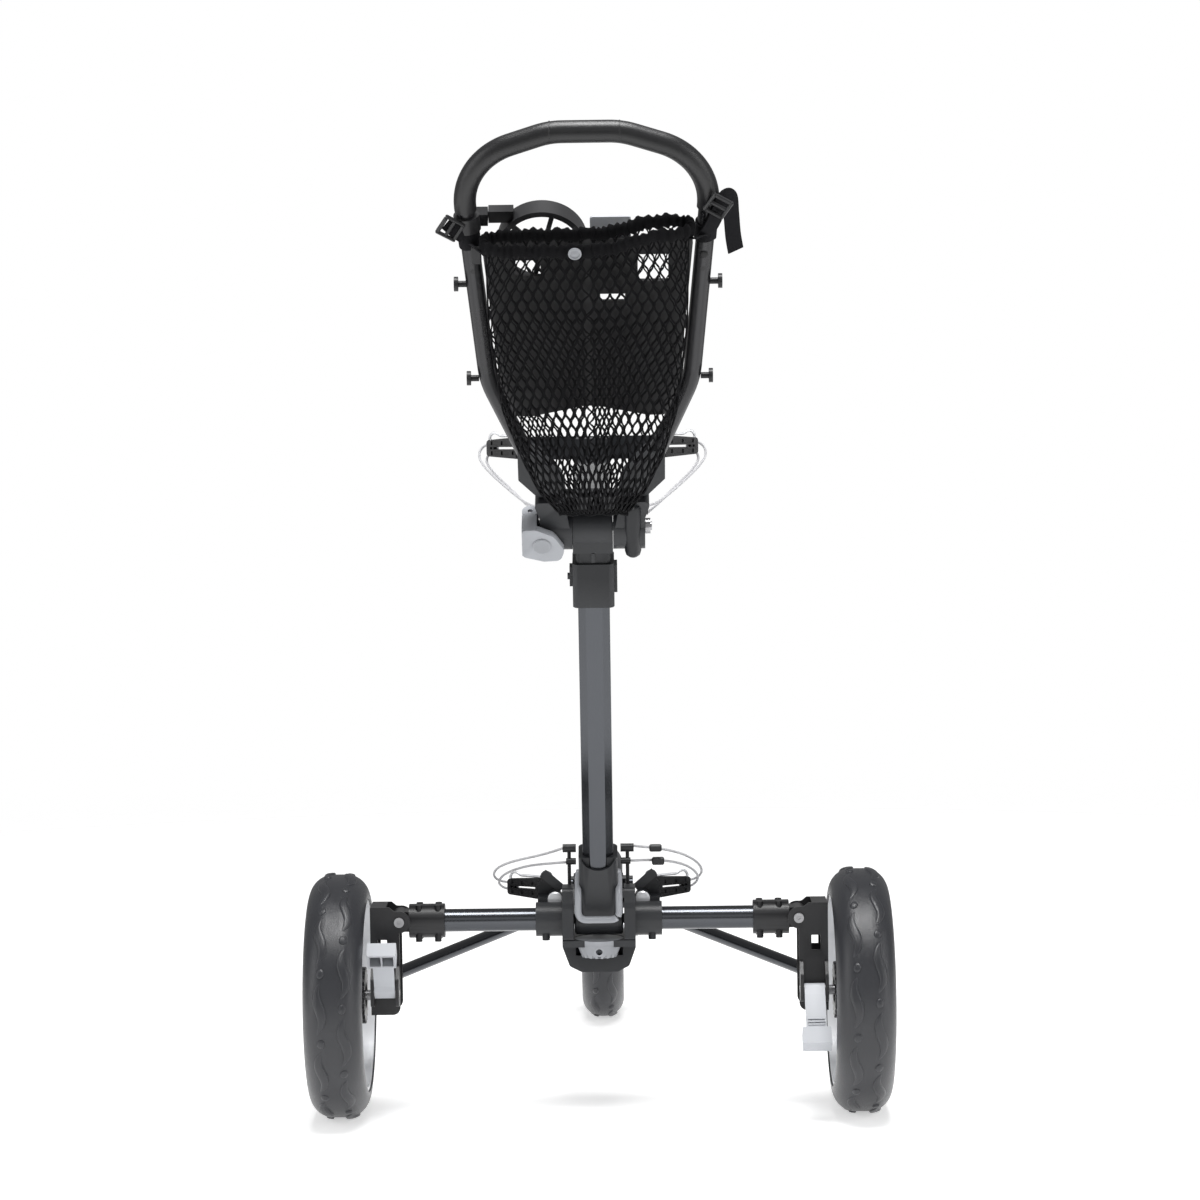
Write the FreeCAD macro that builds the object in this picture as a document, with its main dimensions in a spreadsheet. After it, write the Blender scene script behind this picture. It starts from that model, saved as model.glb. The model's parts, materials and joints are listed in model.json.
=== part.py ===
# Three-wheel push cart that carries a golf bag.
# Millimetres. +Z up, +Y forward to the single front wheel, +X to the right of someone pushing it.
import FreeCAD, Part
import math
import os
import re
import Sketcher

Vec = FreeCAD.Vector
Place = FreeCAD.Placement
Turn = FreeCAD.Rotation

doc = FreeCAD.newDocument("PushCart")
sheet = doc.addObject("Spreadsheet::Sheet", "dims")

# ---------------------------------------------------------------- driving dimensions
DIMENSIONS = {
    # where the rear axle stands, and the distance to the front one
    "rear_axle_y": -142.5,
    "wheelbase": 650,
    # wheels
    "rear_wheel_radius": 146,
    "rear_tyre_width": 70,
    "rear_tyre_bore": 116,
    "rear_track_half": 314,
    "front_wheel_radius": 120,
    "front_tyre_width": 58,
    "front_tyre_bore": 92,
    "shoulder_radius": 27,
    "rim_wall": 5,
    "hub_radius": 21,
    "stub_radius": 6,
    "stub_clearance": 0.05,
    "brake_ring_radius": 34,
    "brake_ring_width": 7,
    # rear axle
    "axle_height": 236,
    "axle_tube_radius": 13.75,
    "sleeve_radius": 20.5,
    "hub_sleeve_inner": 44,
    "hub_sleeve_outer": 76,
    "knuckle_height": 238,
    "knuckle_half": 240,
    "knuckle_pin_radius": 4,
    "clamp_inner": 186,
    "clamp_outer": 229,
    # wheel brackets
    "bracket_wall": 4,
    "bracket_inside": 44,
    "bracket_outer": 275,
    "bracket_top": 256,
    "bracket_bottom": 126,
    # brake pedals
    "pedal_width": 33,
    "pedal_reach": 80,
    "pedal_angle": 50,
    # front tube, fork and struts
    "front_tube_height": 203,
    "front_tube_radius": 15,
    "front_tube_wall": 2,
    "fork_wall": 6,
    "strut_radius": 8,
    "strut_ball_radius": 6,
    "strut_neck_radius": 3.5,
    "wheel_fold": 80,
    "collar_y": 395,
    "collar_half": 25,
    # post
    "post_lean": 20,
    "post_width": 36.6,
    "post_depth": 34,
    "post_length": 511,
    "socket_width": 46.6,
    # handle
    "handle_lean": 35,
    "handle_tube_radius": 10,
    "handle_tube_wall": 1.6,
    "grip_radius": 12,
    "ear_radius": 26,
    "pivot_rod_radius": 5,
    "stud_radius": 3.5,
    "stud_head_radius": 8,
    "cup_radius": 49,
    "cup_depth": 25,
    "cup_wall": 4,
    # bag brackets and cords
    "arm_length": 50,
    "arm_height": 27,
    "arm_wall": 6,
    "cord_radius": 1.5,
    "peg_radius": 5,
}
for row, (alias, value) in enumerate(DIMENSIONS.items(), start=1):
    sheet.set(f"A{row}", alias)
    sheet.set(f"B{row}", str(value))
    sheet.setAlias(f"B{row}", alias)
doc.recompute()


def dim(alias):
    """The value of one cell."""
    return float(getattr(sheet, alias))


def size(thing, **sizes):
    """Set sizes: a number as it is, a text as an expression of the sheet's aliases."""
    for name, value in sizes.items():
        if isinstance(value, str):
            thing.setExpression(name, re.sub(r"([a-z]\w{3,})", r"dims.\1", value))
        else:
            setattr(thing, name, value)
    return thing


# ---------------------------------------------------------------- frames of reference
FLAT = Turn()
ALONG_X = Turn(Vec(0, 1, 0), 90)
ALONG_Y = Turn(Vec(1, 0, 0), -90)
REAR_VIEW = Turn(Vec(1, 0, 0), 90)      # sketch in X and Z, thickness towards -Y
SIDE_VIEW = Turn(Vec(1, 1, 1), 120)     # sketch in Y and Z, thickness towards +X

CART = Place(Vec(0, dim("rear_axle_y"), 0), FLAT)
POST = CART.multiply(Place(Vec(0, 0, dim("axle_height")), Turn(Vec(1, 0, 0), dim("post_lean"))))
JOINT = POST.multVec(Vec(0, 0, dim("post_length")))
HANDLE = Place(JOINT, Turn(Vec(1, 0, 0), dim("handle_lean")))
JOINT_LEVEL = Place(JOINT, FLAT)

pieces = []


def piece(label, thing, frame=CART):
    """Name a finished sub-part and move it from its frame into the cart's."""
    thing.Label = label
    thing.Placement = frame.multiply(thing.Placement)
    pieces.append(thing)
    return thing


# ---------------------------------------------------------------- shapes
def box(corner, wide, deep, tall):
    block = doc.addObject("Part::Box", "block")
    size(block, Length=wide, Width=deep, Height=tall)
    block.Placement = Place(Vec(*corner), FLAT)
    return block


def rod(start, axis, radius, length):
    cylinder = doc.addObject("Part::Cylinder", "rod")
    size(cylinder, Radius=radius, Height=length)
    cylinder.Placement = Place(Vec(*start), Turn(Vec(0, 0, 1), Vec(*axis)))
    return cylinder


def ball(centre, radius):
    sphere = doc.addObject("Part::Sphere", "ball")
    size(sphere, Radius=radius)
    sphere.Placement = Place(Vec(centre), FLAT)
    return sphere


def dome(start, axis, wide, narrow, length):
    cone = doc.addObject("Part::Cone", "taper")
    size(cone, Radius1=wide, Radius2=narrow, Height=length)
    cone.Placement = Place(Vec(*start), Turn(Vec(0, 0, 1), Vec(*axis)))
    return cone


def fuse(*things):
    whole = doc.addObject("Part::MultiFuse", "whole")
    whole.Shapes = list(things)
    return whole


def group(*things):
    """Separate solids that share one node."""
    loose = doc.addObject("Part::Compound", "loose")
    loose.Links = list(things)
    return loose


def cut(base, *tools):
    rest = doc.addObject("Part::Cut", "rest")
    rest.Base = base
    rest.Tool = tools[0] if len(tools) == 1 else fuse(*tools)
    return rest


def ring(start, axis, outer, inner, length):
    return cut(rod(start, axis, outer, length), rod(start, axis, inner, length))


def closed_loop(points, radius=0):
    """Lines and arcs round an outline; a third number on a point is its own corner radius."""
    corners = []
    for index, point in enumerate(points):
        here = Vec(point[0], point[1], 0)
        after = points[(index + 1) % len(points)]
        back = (Vec(points[index - 1][0], points[index - 1][1], 0) - here).normalize()
        ahead = (Vec(after[0], after[1], 0) - here).normalize()
        corner_radius = point[2] if len(point) > 2 else radius
        if not corner_radius:
            corners.append((here, here, None))
            continue
        half = back.getAngle(ahead) / 2
        reach = corner_radius / math.tan(half)
        inward = (back + ahead).normalize()
        middle = here + inward * (corner_radius / math.sin(half) - corner_radius)
        corners.append((here + back * reach, here + ahead * reach, middle))
    edges = []
    for index, (start, stop, middle) in enumerate(corners):
        if middle is not None:
            edges.append(Part.Arc(start, middle, stop))
        following = corners[(index + 1) % len(corners)][0]
        after = points[(index + 1) % len(points)]
        run = Vec(after[0] - points[index][0], after[1] - points[index][1], 0)
        if run.dot(following - stop) < -1e-6:
            raise ValueError(f"corner radii at {points[index]} and {after} overlap")
        if (following - stop).Length > 1e-6:
            edges.append(Part.LineSegment(stop, following))
    return edges


def origin_plane(body, role):
    return next(item for item in body.Origin.OriginFeatures if item.Role == role)


def plate(points, thick, radius=0, windows=(), holes=(), turn=FLAT, corner=(0, 0, 0)):
    """A body padded from one outline, with windows (outlines) and round holes (x, y, radius)."""
    body = doc.addObject("PartDesign::Body", "plate")
    sketch = body.newObject("Sketcher::SketchObject", "outline")
    sketch.AttachmentSupport = [(origin_plane(body, "XY_Plane"), "")]
    sketch.MapMode = "FlatFace"
    sketch.addGeometry(closed_loop(points, radius), False)
    for window in windows:
        sketch.addGeometry(closed_loop(window, 0), False)
    for x, y, hole_radius in holes:
        start = dim(hole_radius) if isinstance(hole_radius, str) else hole_radius
        circle = sketch.addGeometry(Part.Circle(Vec(x, y, 0), Vec(0, 0, 1), start), False)
        constraint = sketch.addConstraint(Sketcher.Constraint("Radius", circle, start))
        if isinstance(hole_radius, str):
            sketch.setExpression(f"Constraints[{constraint}]", f"dims.{hole_radius}")
    pad = body.newObject("PartDesign::Pad", "thickness")
    pad.Profile = sketch
    size(pad, Length=thick)
    body.Placement = Place(Vec(*corner), turn)
    return body


def rectangle(x0, y0, x1, y1):
    return [(x0, y0), (x1, y0), (x1, y1), (x0, y1)]


def lofted(sections):
    """A body through rounded rectangles (height, x0, y0, x1, y1, corner radius)."""
    body = doc.addObject("PartDesign::Body", "loft")
    sketches = []
    for height, x0, y0, x1, y1, radius in sections:
        sketch = body.newObject("Sketcher::SketchObject", "section")
        sketch.AttachmentSupport = [(origin_plane(body, "XY_Plane"), "")]
        sketch.MapMode = "FlatFace"
        sketch.AttachmentOffset = Place(Vec(0, 0, height), FLAT)
        sketch.addGeometry(closed_loop(rectangle(x0, y0, x1, y1), radius), False)
        sketches.append(sketch)
    loft = body.newObject("PartDesign::AdditiveLoft", "skin")
    loft.Profile = sketches[0]
    loft.Sections = sketches[1:]
    loft.Ruled = True
    return body


def bent_wire(points, bends):
    """Straight runs joined by tangent arcs of the given radii, one for each inner point."""
    route = [Vec(*point) for point in points]
    edges = []
    start = route[0]
    for index, bend in enumerate(bends, start=1):
        here = route[index]
        back = (route[index - 1] - here).normalize()
        ahead = (route[index + 1] - here).normalize()
        half = back.getAngle(ahead) / 2
        reach = bend / math.tan(half)
        inward = (back + ahead).normalize()
        middle = here + inward * (bend / math.sin(half) - bend)
        first = here + back * reach
        last = here + ahead * reach
        edges.append(Part.LineSegment(start, first).toShape())
        edges.append(Part.Arc(first, middle, last).toShape())
        start = last
    edges.append(Part.LineSegment(start, route[-1]).toShape())
    return Part.Wire(edges)


def swept(points, bends, radius):
    """A round bar along a bent path."""
    path = doc.addObject("Part::Feature", "path")
    path.Shape = bent_wire(points, bends)
    section = size(doc.addObject("Part::Circle", "section"), Radius=radius)
    heading = Vec(*points[1]) - Vec(*points[0])
    section.Placement = Place(Vec(*points[0]), Turn(Vec(0, 0, 1), heading))
    bar = doc.addObject("Part::Sweep", "bar")
    bar.Sections = [section]
    bar.Spine = (path, [f"Edge{number}" for number in range(1, len(path.Shape.Edges) + 1)])
    bar.Solid = True
    bar.Frenet = False
    return bar


def cord(label, points, frame=CART):
    """A free cord: each arc is as large as its two runs allow."""
    route = [Vec(*point) for point in points]
    bends = []
    for index in range(1, len(route) - 1):
        back = route[index - 1] - route[index]
        ahead = route[index + 1] - route[index]
        half_turn = (math.pi - back.getAngle(ahead)) / 2
        bends.append(0.45 * min(back.Length, ahead.Length) / math.tan(half_turn))
    bar = swept(points, bends, "cord_radius")
    length = bent_wire(points, bends).Length
    print(label, "length", round(length, 1), "radii", [round(bend, 1) for bend in bends])
    cords.append((bar, length))
    return piece(label, bar, frame)


cords = []


# ---------------------------------------------------------------- wheels
def tyre(label, centre, outer, bore, width, frame=CART):
    """Foam tyre with rounded shoulders."""
    body = doc.addObject("PartDesign::Body", "tyre")
    sketch = body.newObject("Sketcher::SketchObject", "section")
    sketch.AttachmentSupport = [(origin_plane(body, "XY_Plane"), "")]
    sketch.MapMode = "FlatFace"
    for radius in (outer, bore):
        circle = sketch.addGeometry(Part.Circle(Vec(), Vec(0, 0, 1), dim(radius)), False)
        constraint = sketch.addConstraint(Sketcher.Constraint("Radius", circle, dim(radius)))
        sketch.setExpression(f"Constraints[{constraint}]", f"dims.{radius}")
    pad = body.newObject("PartDesign::Pad", "band")
    pad.Profile = sketch
    size(pad, Length=width)
    doc.recompute()
    shoulders = []
    for number, edge in enumerate(pad.Shape.Edges, start=1):
        if hasattr(edge.Curve, "Radius") and abs(edge.Curve.Radius - dim(outer)) < 0.01:
            shoulders.append(f"Edge{number}")
    rounding = body.newObject("PartDesign::Fillet", "shoulders")
    rounding.Base = (pad, shoulders)
    size(rounding, Radius="shoulder_radius")
    body.Tip = rounding
    x, y, z = centre
    body.Placement = Place(Vec(x - dim(width) / 2, y, z), ALONG_X)
    return piece(label, body, frame)


def rim(label, centre, bore, width, hub_width, shaft, spokes=5):
    """Barrel with raised edges, double spokes and a bored hub, round the X axis."""
    x, y, z = centre
    half = dim(width) / 2 - 2
    along = (1, 0, 0)
    barrel = ring((x - half, y, z), along, bore, f"{bore} - rim_wall", 2 * half)
    hub = rod((x - hub_width / 2, y, z), along, "hub_radius", hub_width)
    parts = [barrel, hub]
    reach = dim(bore) - 3
    for number in range(spokes):
        angle = 360 * number / spokes
        for offset in (-9, 9):
            spoke = box((0, 0, 0), 10, 7, reach - 16)
            lean = Turn(Vec(1, 0, 0), angle + offset)
            spoke.Placement = Place(Vec(x, y, z) + lean.multVec(Vec(-5, -3.5, 16)), lean)
            parts.append(spoke)
    bore_tool = rod((x - hub_width / 2 - 1, y, z), along, shaft, hub_width + 2)
    return piece(label, cut(fuse(*parts), bore_tool))


def rear_wheel(side, name):
    """Tyre, rim, brake ring and dust cap of one rear wheel; side is -1 left or +1 right."""
    height = dim("rear_wheel_radius")
    x = side * dim("rear_track_half")
    centre = (x, 0, height)
    tyre(f"rear_tyre_{name}", centre, "rear_wheel_radius", "rear_tyre_bore", "rear_tyre_width")
    rim(f"rear_rim_{name}", centre, "rear_tyre_bore", "rear_tyre_width", 48,
        "stub_radius + stub_clearance")
    inner_face = dim("rear_track_half") - 24
    radius = dim("brake_ring_radius")
    outline = []
    teeth = 24
    for tooth in range(teeth):
        for share, reach in ((0.0, radius - 4), (0.2, radius), (0.5, radius), (0.7, radius - 4)):
            angle = 2 * math.pi * (tooth + share) / teeth
            outline.append((reach * math.cos(angle), reach * math.sin(angle)))
    start = inner_face if side < 0 else inner_face - dim("brake_ring_width")
    start_x = -start if side < 0 else start
    toothed = plate(outline, "brake_ring_width", holes=[(0, 0, 16)], turn=ALONG_X,
                    corner=(start_x, 0, height))
    piece(f"brake_ring_{name}", toothed)
    cap_start = (side * (dim("rear_track_half") + 24), 0, height)
    cap = dome(cap_start, (side, 0, 0), 20, 15, 10)
    hollow = rod(cap_start, (side, 0, 0), 9, 8)
    piece(f"hub_cap_{name}", cut(cap, hollow))


def wheel_bracket(side, name):
    """Folding channel that carries the stub axle and the pedal boss."""
    wall = dim("bracket_wall")
    half = dim("bracket_inside") / 2
    inner = dim("knuckle_half")
    outer = dim("bracket_outer")
    top = dim("bracket_top")
    bottom = dim("bracket_bottom")
    pin_z = dim("knuckle_height")
    lug = 13
    outline = [(inner, bottom, 9), (outer, bottom), (outer, top), (inner + 12, top, 3),
               (inner + 6, pin_z + lug, 6), (inner - lug, pin_z + lug, 12.9),
               (inner - lug, pin_z - lug, 12.9), (inner, pin_z - lug)]
    outline = [(side * point[0], *point[1:]) for point in outline]
    window = [(side * x, z) for x, z in rectangle(inner + 15, 199, inner + 26, 217)]
    pin_hole = (side * inner, pin_z, dim("knuckle_pin_radius") + dim("stub_clearance"))
    walls = []
    for front in (-half, half + wall):
        walls.append(plate(outline, "bracket_wall", windows=[window], holes=[pin_hole],
                           turn=REAR_VIEW, corner=(0, front, 0)))
    web_x = outer - wall if side > 0 else -outer
    web = box((web_x, -half - 0.5, bottom), "bracket_wall", "bracket_inside + 1", top - bottom)
    top_x = inner + 16 if side > 0 else -outer
    roof = box((top_x, -half - 0.5, top - 3), outer - inner - 16, "bracket_inside + 1", 3)
    foot_x = inner + 9 if side > 0 else -outer
    foot = box((foot_x, -half - 0.5, bottom), outer - inner - 9, "bracket_inside + 1", 3)
    wheel_z = dim("rear_wheel_radius")
    boss = rod((side * (outer - wall - 14), 0, wheel_z), (side, 0, 0), 13, 15)
    pivot_y = -half - wall - 9
    cheeks = []
    for start in (inner + 0.5, outer - 4.5):
        start_x = start if side > 0 else -(start + 4)
        cheek = plate([(-half - wall + 1, 186), (-half - wall + 1, 138), (pivot_y - 9, 138, 8),
                       (pivot_y - 9, 170, 9), (-half - wall - 4, 186, 3)], 4, turn=SIDE_VIEW,
                      holes=[(pivot_y, 154, 4.1)], corner=(start_x, 0, 0))
        cheeks.append(cheek)
    piece(f"wheel_bracket_{name}", fuse(*walls, web, roof, foot, boss, *cheeks))
    stub = rod((side * outer, 0, wheel_z), (side, 0, 0), "stub_radius", 62)
    middle = (inner + outer) / 2
    pedal_pin = rod((side * middle - 17.5, pivot_y, 154), (1, 0, 0), 4, 35)
    piece(f"bracket_pins_{name}", group(stub, pedal_pin))


def brake_pedal(side, name, angle):
    """Foot pedal: hinge barrel, ribbed tongue and hollow toe block; angle is above level."""
    pivot_y = -dim("bracket_inside") / 2 - dim("bracket_wall") - 9
    reach = dim("pedal_reach")
    width = dim("pedal_width") - 8.6
    profile = [(-6, -6, 5.9), (-6, 6, 5.9), (12, 6.5, 3), (reach - 24, 9, 8),
               (reach - 22, 10), (reach, 10, 2), (reach, -10, 2), (reach - 22, -10, 2),
               (reach - 24, 2, 4), (14, -2, 4), (8, -6, 4)]
    centre = (dim("knuckle_half") + dim("bracket_outer")) / 2
    lift = Turn(Vec(1, 0, 0), -angle).multiply(Turn(Vec(0, 0, 1), 180))
    tongue = plate(profile, width, turn=SIDE_VIEW, corner=(-width / 2, 0, 0))
    wing = box((-17, reach - 22, -10), 34, 22, 20)
    cells = []
    for start in (-14, 1):
        cells.append(box((start, reach - 19, -11), 13, 16, 17))
    hole = rod((-width / 2 - 1, 0, 0), (1, 0, 0), 4.05, width + 2)
    ribs = [box((-10, reach - 34 + 4 * number, 7), 20, 1.6, 3.4) for number in range(3)]
    pedal = cut(fuse(tongue, wing, *ribs), hole, *cells)
    pedal.Placement = Place(Vec(side * centre, pivot_y, 154), lift)
    piece(f"brake_pedal_{name}", pedal)


# ---------------------------------------------------------------- rear axle and hub
def rear_axle(side, name):
    """Axle tube and knuckle clamp of one side; gives back its hub sleeve and knuckle pin."""
    height = dim("axle_height")
    inner = dim("hub_sleeve_inner")
    tube_end = dim("clamp_outer") - 4
    along = (side, 0, 0)
    piece(f"axle_tube_{name}", ring((side * (inner + 2), 0, height), along, "axle_tube_radius",
                                    "axle_tube_radius - 2", tube_end - inner - 2))
    sleeve_length = dim("hub_sleeve_outer") - inner
    sleeve = rod((side * inner, 0, height), along, "sleeve_radius", sleeve_length)
    bore = rod((side * (inner + 2), 0, height), along, "axle_tube_radius", sleeve_length)
    lumps = []
    for y in (-9, 9):
        lumps.append(rod((side * (inner + 20), y, height - 24), (0, 0, 1), 4.5, 14))
    hub_sleeve = cut(fuse(sleeve, *lumps), bore)
    clamp_in = dim("clamp_inner")
    clamp_length = dim("clamp_outer") - clamp_in
    barrel = rod((side * clamp_in, 0, height), along, "sleeve_radius", clamp_length)
    lug_start = clamp_in + clamp_length - 6
    neck_x = lug_start if side > 0 else -(dim("knuckle_half"))
    neck = box((neck_x, -16, height - 11), dim("knuckle_half") - lug_start, 32, 24)
    lug = rod((side * dim("knuckle_half"), -20, dim("knuckle_height")), (0, 1, 0), 12, 40)
    bolts = []
    for start in (clamp_in + 8, clamp_in + 31):
        bolts.append(rod((side * start, 12, height - 23.5), (0, 0, 1), 4, 44))
        bolts.append(rod((side * start, -12, height - 23.5), (0, 0, 1), 4, 44))
    clamp_bore = rod((side * (clamp_in - 1), 0, height), along, "axle_tube_radius",
                     tube_end - clamp_in + 1)
    pin_hole = rod((side * dim("knuckle_half"), -30, dim("knuckle_height")), (0, 1, 0),
                   "knuckle_pin_radius", 60)
    clamp = cut(fuse(barrel, neck, lug, *bolts), clamp_bore, pin_hole)
    piece(f"knuckle_clamp_{name}", clamp)
    pin = rod((side * dim("knuckle_half"), -28.5, dim("knuckle_height")), (0, 1, 0),
              "knuckle_pin_radius", 57)
    heads = []
    for start in (-29, 26.5):
        heads.append(rod((side * dim("knuckle_half"), start, dim("knuckle_height")), (0, 1, 0),
                         6, 2.5))
    socket = rod((side * dim("knuckle_half"), -30, dim("knuckle_height")), (0, 1, 0), 2, 2)
    return hub_sleeve, cut(fuse(pin, *heads), socket)


def hub():
    """Cheeks beside the post, the block below the axle and the socket of the front tube."""
    height = dim("axle_height")
    parts = []
    for start in (-44, 30.5):
        cheek = plate([(-32, 214, 3), (34, 214, 3), (34, 262, 14), (18, 276, 8), (-20, 276, 8),
                       (-32, 256, 14)], 13.5, turn=SIDE_VIEW, corner=(start, 0, 0))
        parts.append(cheek)
    floor = box((-44, -32, 206), 88, 66, 8)
    parts.append(floor)
    lower = plate([(-44, 214, 3), (-44, 200, 6), (-36, 178, 6), (-22, 171, 4), (22, 171, 4),
                   (36, 178, 6), (44, 200, 6), (44, 214, 3)],
                  62, turn=REAR_VIEW, corner=(0, 62, 0))
    parts.append(lower)
    cup = [rod((0, -8, 191), (0, 0, 1), 29.6, 23.5)]
    pin_hole = rod((-46, 0, height), (1, 0, 0), 6, 92)
    socket = rod((0, 20, dim("front_tube_height")), (0, 1, 0), "front_tube_radius", 60)
    piece("hub_housing", cut(fuse(*parts), pin_hole, socket, *cup))
    cup_body = cut(fuse(rod((0, -8, 208), (0, 0, 1), 29.6, 5.5),
                        dome((0, -8, 209), (0, 0, -1), 28, 21, 17.5)),
                   dome((0, -8, 207), (0, 0, -1), 24, 16.5, 18),
                   rod((0, -40, 200), (0, 1, 0), 4, 20))
    notches = []
    for number in range(9):
        angle = math.radians(20 * number + 190)
        spot = (20 * math.cos(angle) - 2, 20 * math.sin(angle) - 10, 188)
        notches.append(box(spot, 4, 4, 8))
    piece("hub_cup", cut(cup_body, *notches))
    piece("post_pin", rod((-43.8, 0, height), (1, 0, 0), 6, 87.6))


# ---------------------------------------------------------------- front
def front_end():
    """Front tube, fork and wheel."""
    level = dim("front_tube_height")
    reach = dim("wheelbase")
    tube_start = 24
    tube_end = 478
    piece("front_tube", ring((0, tube_start, level), (0, 1, 0), "front_tube_radius",
                             "front_tube_radius - front_tube_wall", tube_end - tube_start))
    axle_z = dim("front_wheel_radius")
    legs = []
    for start in (-43, 37):
        leg = plate([(484, level + 17, 8), (454, level + 17, 6), (454, level - 18, 6),
                     (500, level - 26, 30), (reach - 14, axle_z - 14, 13.9),
                     (reach + 14, axle_z - 14, 13.9), (reach + 14, axle_z + 14, 13.9)],
                    "fork_wall", turn=SIDE_VIEW, holes=[(reach, axle_z, 5.0)],
                    corner=(start, 0, 0))
        legs.append(leg)
    crown = box((-38, 454, level - 18), 76, 34, 35)
    tube_hole = rod((0, 440, level), (0, 1, 0), "front_tube_radius", 38)
    piece("front_fork", cut(fuse(crown, *legs), tube_hole))
    axle = rod((-47, reach, axle_z), (1, 0, 0), 5, 94)
    nuts = []
    for start in (-49.5, 43.5):
        nuts.append(ring((start, reach, axle_z), (1, 0, 0), 9, 5, 6))
    piece("front_axle", group(axle, *nuts))
    centre = (0, reach, axle_z)
    tyre("front_tyre", centre, "front_wheel_radius", "front_tyre_bore", "front_tyre_width")
    rim("front_rim", centre, "front_tyre_bore", "front_tyre_width", 68, 5.05)


def strut_lines(side):
    """Inner ball, outer end, and the strut's two directions: wheels out and wheels folded."""
    inner = Vec(side * (dim("collar_half") + 4), dim("collar_y") - 8, dim("front_tube_height") - 1)
    outer = Vec(side * 250, 35, 165)
    knuckle = Vec(side * dim("knuckle_half"), 0, dim("knuckle_height"))
    fold = Turn(Vec(0, side, 0), dim("wheel_fold"))
    folded_end = knuckle + fold.multVec(outer - knuckle)
    across = folded_end.x - inner.x
    rise = folded_end.z - inner.z
    open_line = outer - inner
    back = math.sqrt(open_line.Length ** 2 - across ** 2 - rise ** 2)
    return inner, outer, open_line, Vec(across, -back, rise)


def struts():
    """Collar that slides on the front tube, and the two ball-ended struts it carries."""
    level = dim("front_tube_height")
    middle = dim("collar_y")
    collar = rod((0, middle - 16, level), (0, 1, 0), 21, 32)
    wings = box((-38, middle - 18, level - 11), 76, 27, 22)
    bore = rod((0, middle - 20, level), (0, 1, 0), "front_tube_radius + 0.1", 40)
    cups = []
    for side, name in ((-1, "left"), (1, "right")):
        inner, outer, open_line, folded_line = strut_lines(side)
        cups.append(ball(inner, "strut_ball_radius + stub_clearance"))
        for step in range(6):
            heading = open_line * (1 - step / 5) + folded_line * (step / 5)
            cups.append(rod(tuple(inner), tuple(heading), "strut_neck_radius + 0.7", 18))
        along = Vec(open_line).normalize()
        neck = rod(tuple(inner), tuple(along), "strut_neck_radius", 22)
        bar = rod(tuple(inner + along * 20), tuple(along), "strut_radius",
                  open_line.Length - 26)
        tab = rod((outer.x, outer.y - 2.5, outer.z), (0, 1, 0), 10, 5)
        screw = rod((outer.x, outer.y - 5.2, outer.z), (0, 1, 0), 4, 8)
        head = rod((outer.x, outer.y + 2.4, outer.z), (0, 1, 0), 6.5, 4)
        piece(f"strut_{name}", fuse(ball(inner, "strut_ball_radius"), neck, bar, tab, screw, head))
    piece("strut_collar", cut(fuse(collar, wings), bore, *cups))


# ---------------------------------------------------------------- post
def post_outline(half_width, half_depth, bevel):
    return [(-half_width, -half_depth + bevel, 2), (-half_width + bevel, -half_depth, 2),
            (half_width - bevel, -half_depth, 2), (half_width, -half_depth + bevel, 2),
            (half_width, half_depth, 5), (-half_width, half_depth, 5)]


def post():
    """Bevelled tube between its lower and upper sockets."""
    half = dim("post_width") / 2
    deep = dim("post_depth") / 2
    outline = post_outline(half, deep, 9)
    inner = [(x * 0.88, y * 0.88) for x, y, _ in outline]
    tube = plate(outline, 408, windows=[inner], corner=(0, 0, 34))
    piece("post_tube", tube, POST)
    wide = dim("socket_width") / 2
    socket = plate([(-wide, -21, 8), (wide, -21, 8), (wide, 21, 8), (-wide, 21, 8)], 77,
                   corner=(0, 0, 14))
    barrel = rod((-wide, 0, 0), (1, 0, 0), 19, 2 * wide)
    smile = rod((0, -40, 97), (0, 1, 0), 21, 24)
    hollow = plate(outline, 60, corner=(0, 0, 34))
    pin_hole = rod((-30, 0, 0), (1, 0, 0), 6.05, 60)
    loop_pins = [rod((start, 14, 52), (1, 0, 0), 2.5, 7) for start in (-29.8, 22.8)]
    shell = cut(fuse(socket, barrel), smile, hollow, pin_hole)
    piece("lower_socket", fuse(shell, *loop_pins), POST)
    upper = plate([(-24, -21, 6), (24, -21, 6), (24, 21, 6), (-24, 21, 6)], 54,
                  corner=(0, 0, 418))
    neck = plate([(-20, -18, 5), (20, -18, 5), (20, 20, 5), (-20, 20, 5)], 15,
                 corner=(0, 0, 470))
    rib = box((-2, -20, 474), 4, 6, 11)
    latch = [box((-27.5, -8, 440), 4, 12, 24), box((-30, -6, 448), 5, 8, 5),
             box((23.5, -8, 432), 4, 16, 34)]
    upper_hollow = plate(outline, 24.2, corner=(0, 0, 417.8))
    piece("upper_socket", cut(fuse(upper, neck, rib, *latch), upper_hollow), POST)


def release_loop():
    """Grey pull loop across the rear of the lower socket."""
    arms = []
    for start in (-29.8, 24):
        arms.append(plate([(-43, 18, 4), (-43, 30), (-31, 56, 8), (21, 59, 6.6), (21, 45, 6.6),
                           (-24, 44, 8), (-33, 18, 2)], 5.8, turn=SIDE_VIEW,
                          holes=[(14, 52, 2.55)], corner=(start, 0, 0)))
    bar = plate([(-42.5, 18.5, 3.5), (-42.5, 28.5, 3), (-33.5, 28.5, 3), (-33.5, 18.5, 2)], 52,
                turn=SIDE_VIEW, corner=(-26, 0, 0))
    piece("release_loop", fuse(bar, *arms), POST)


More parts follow.
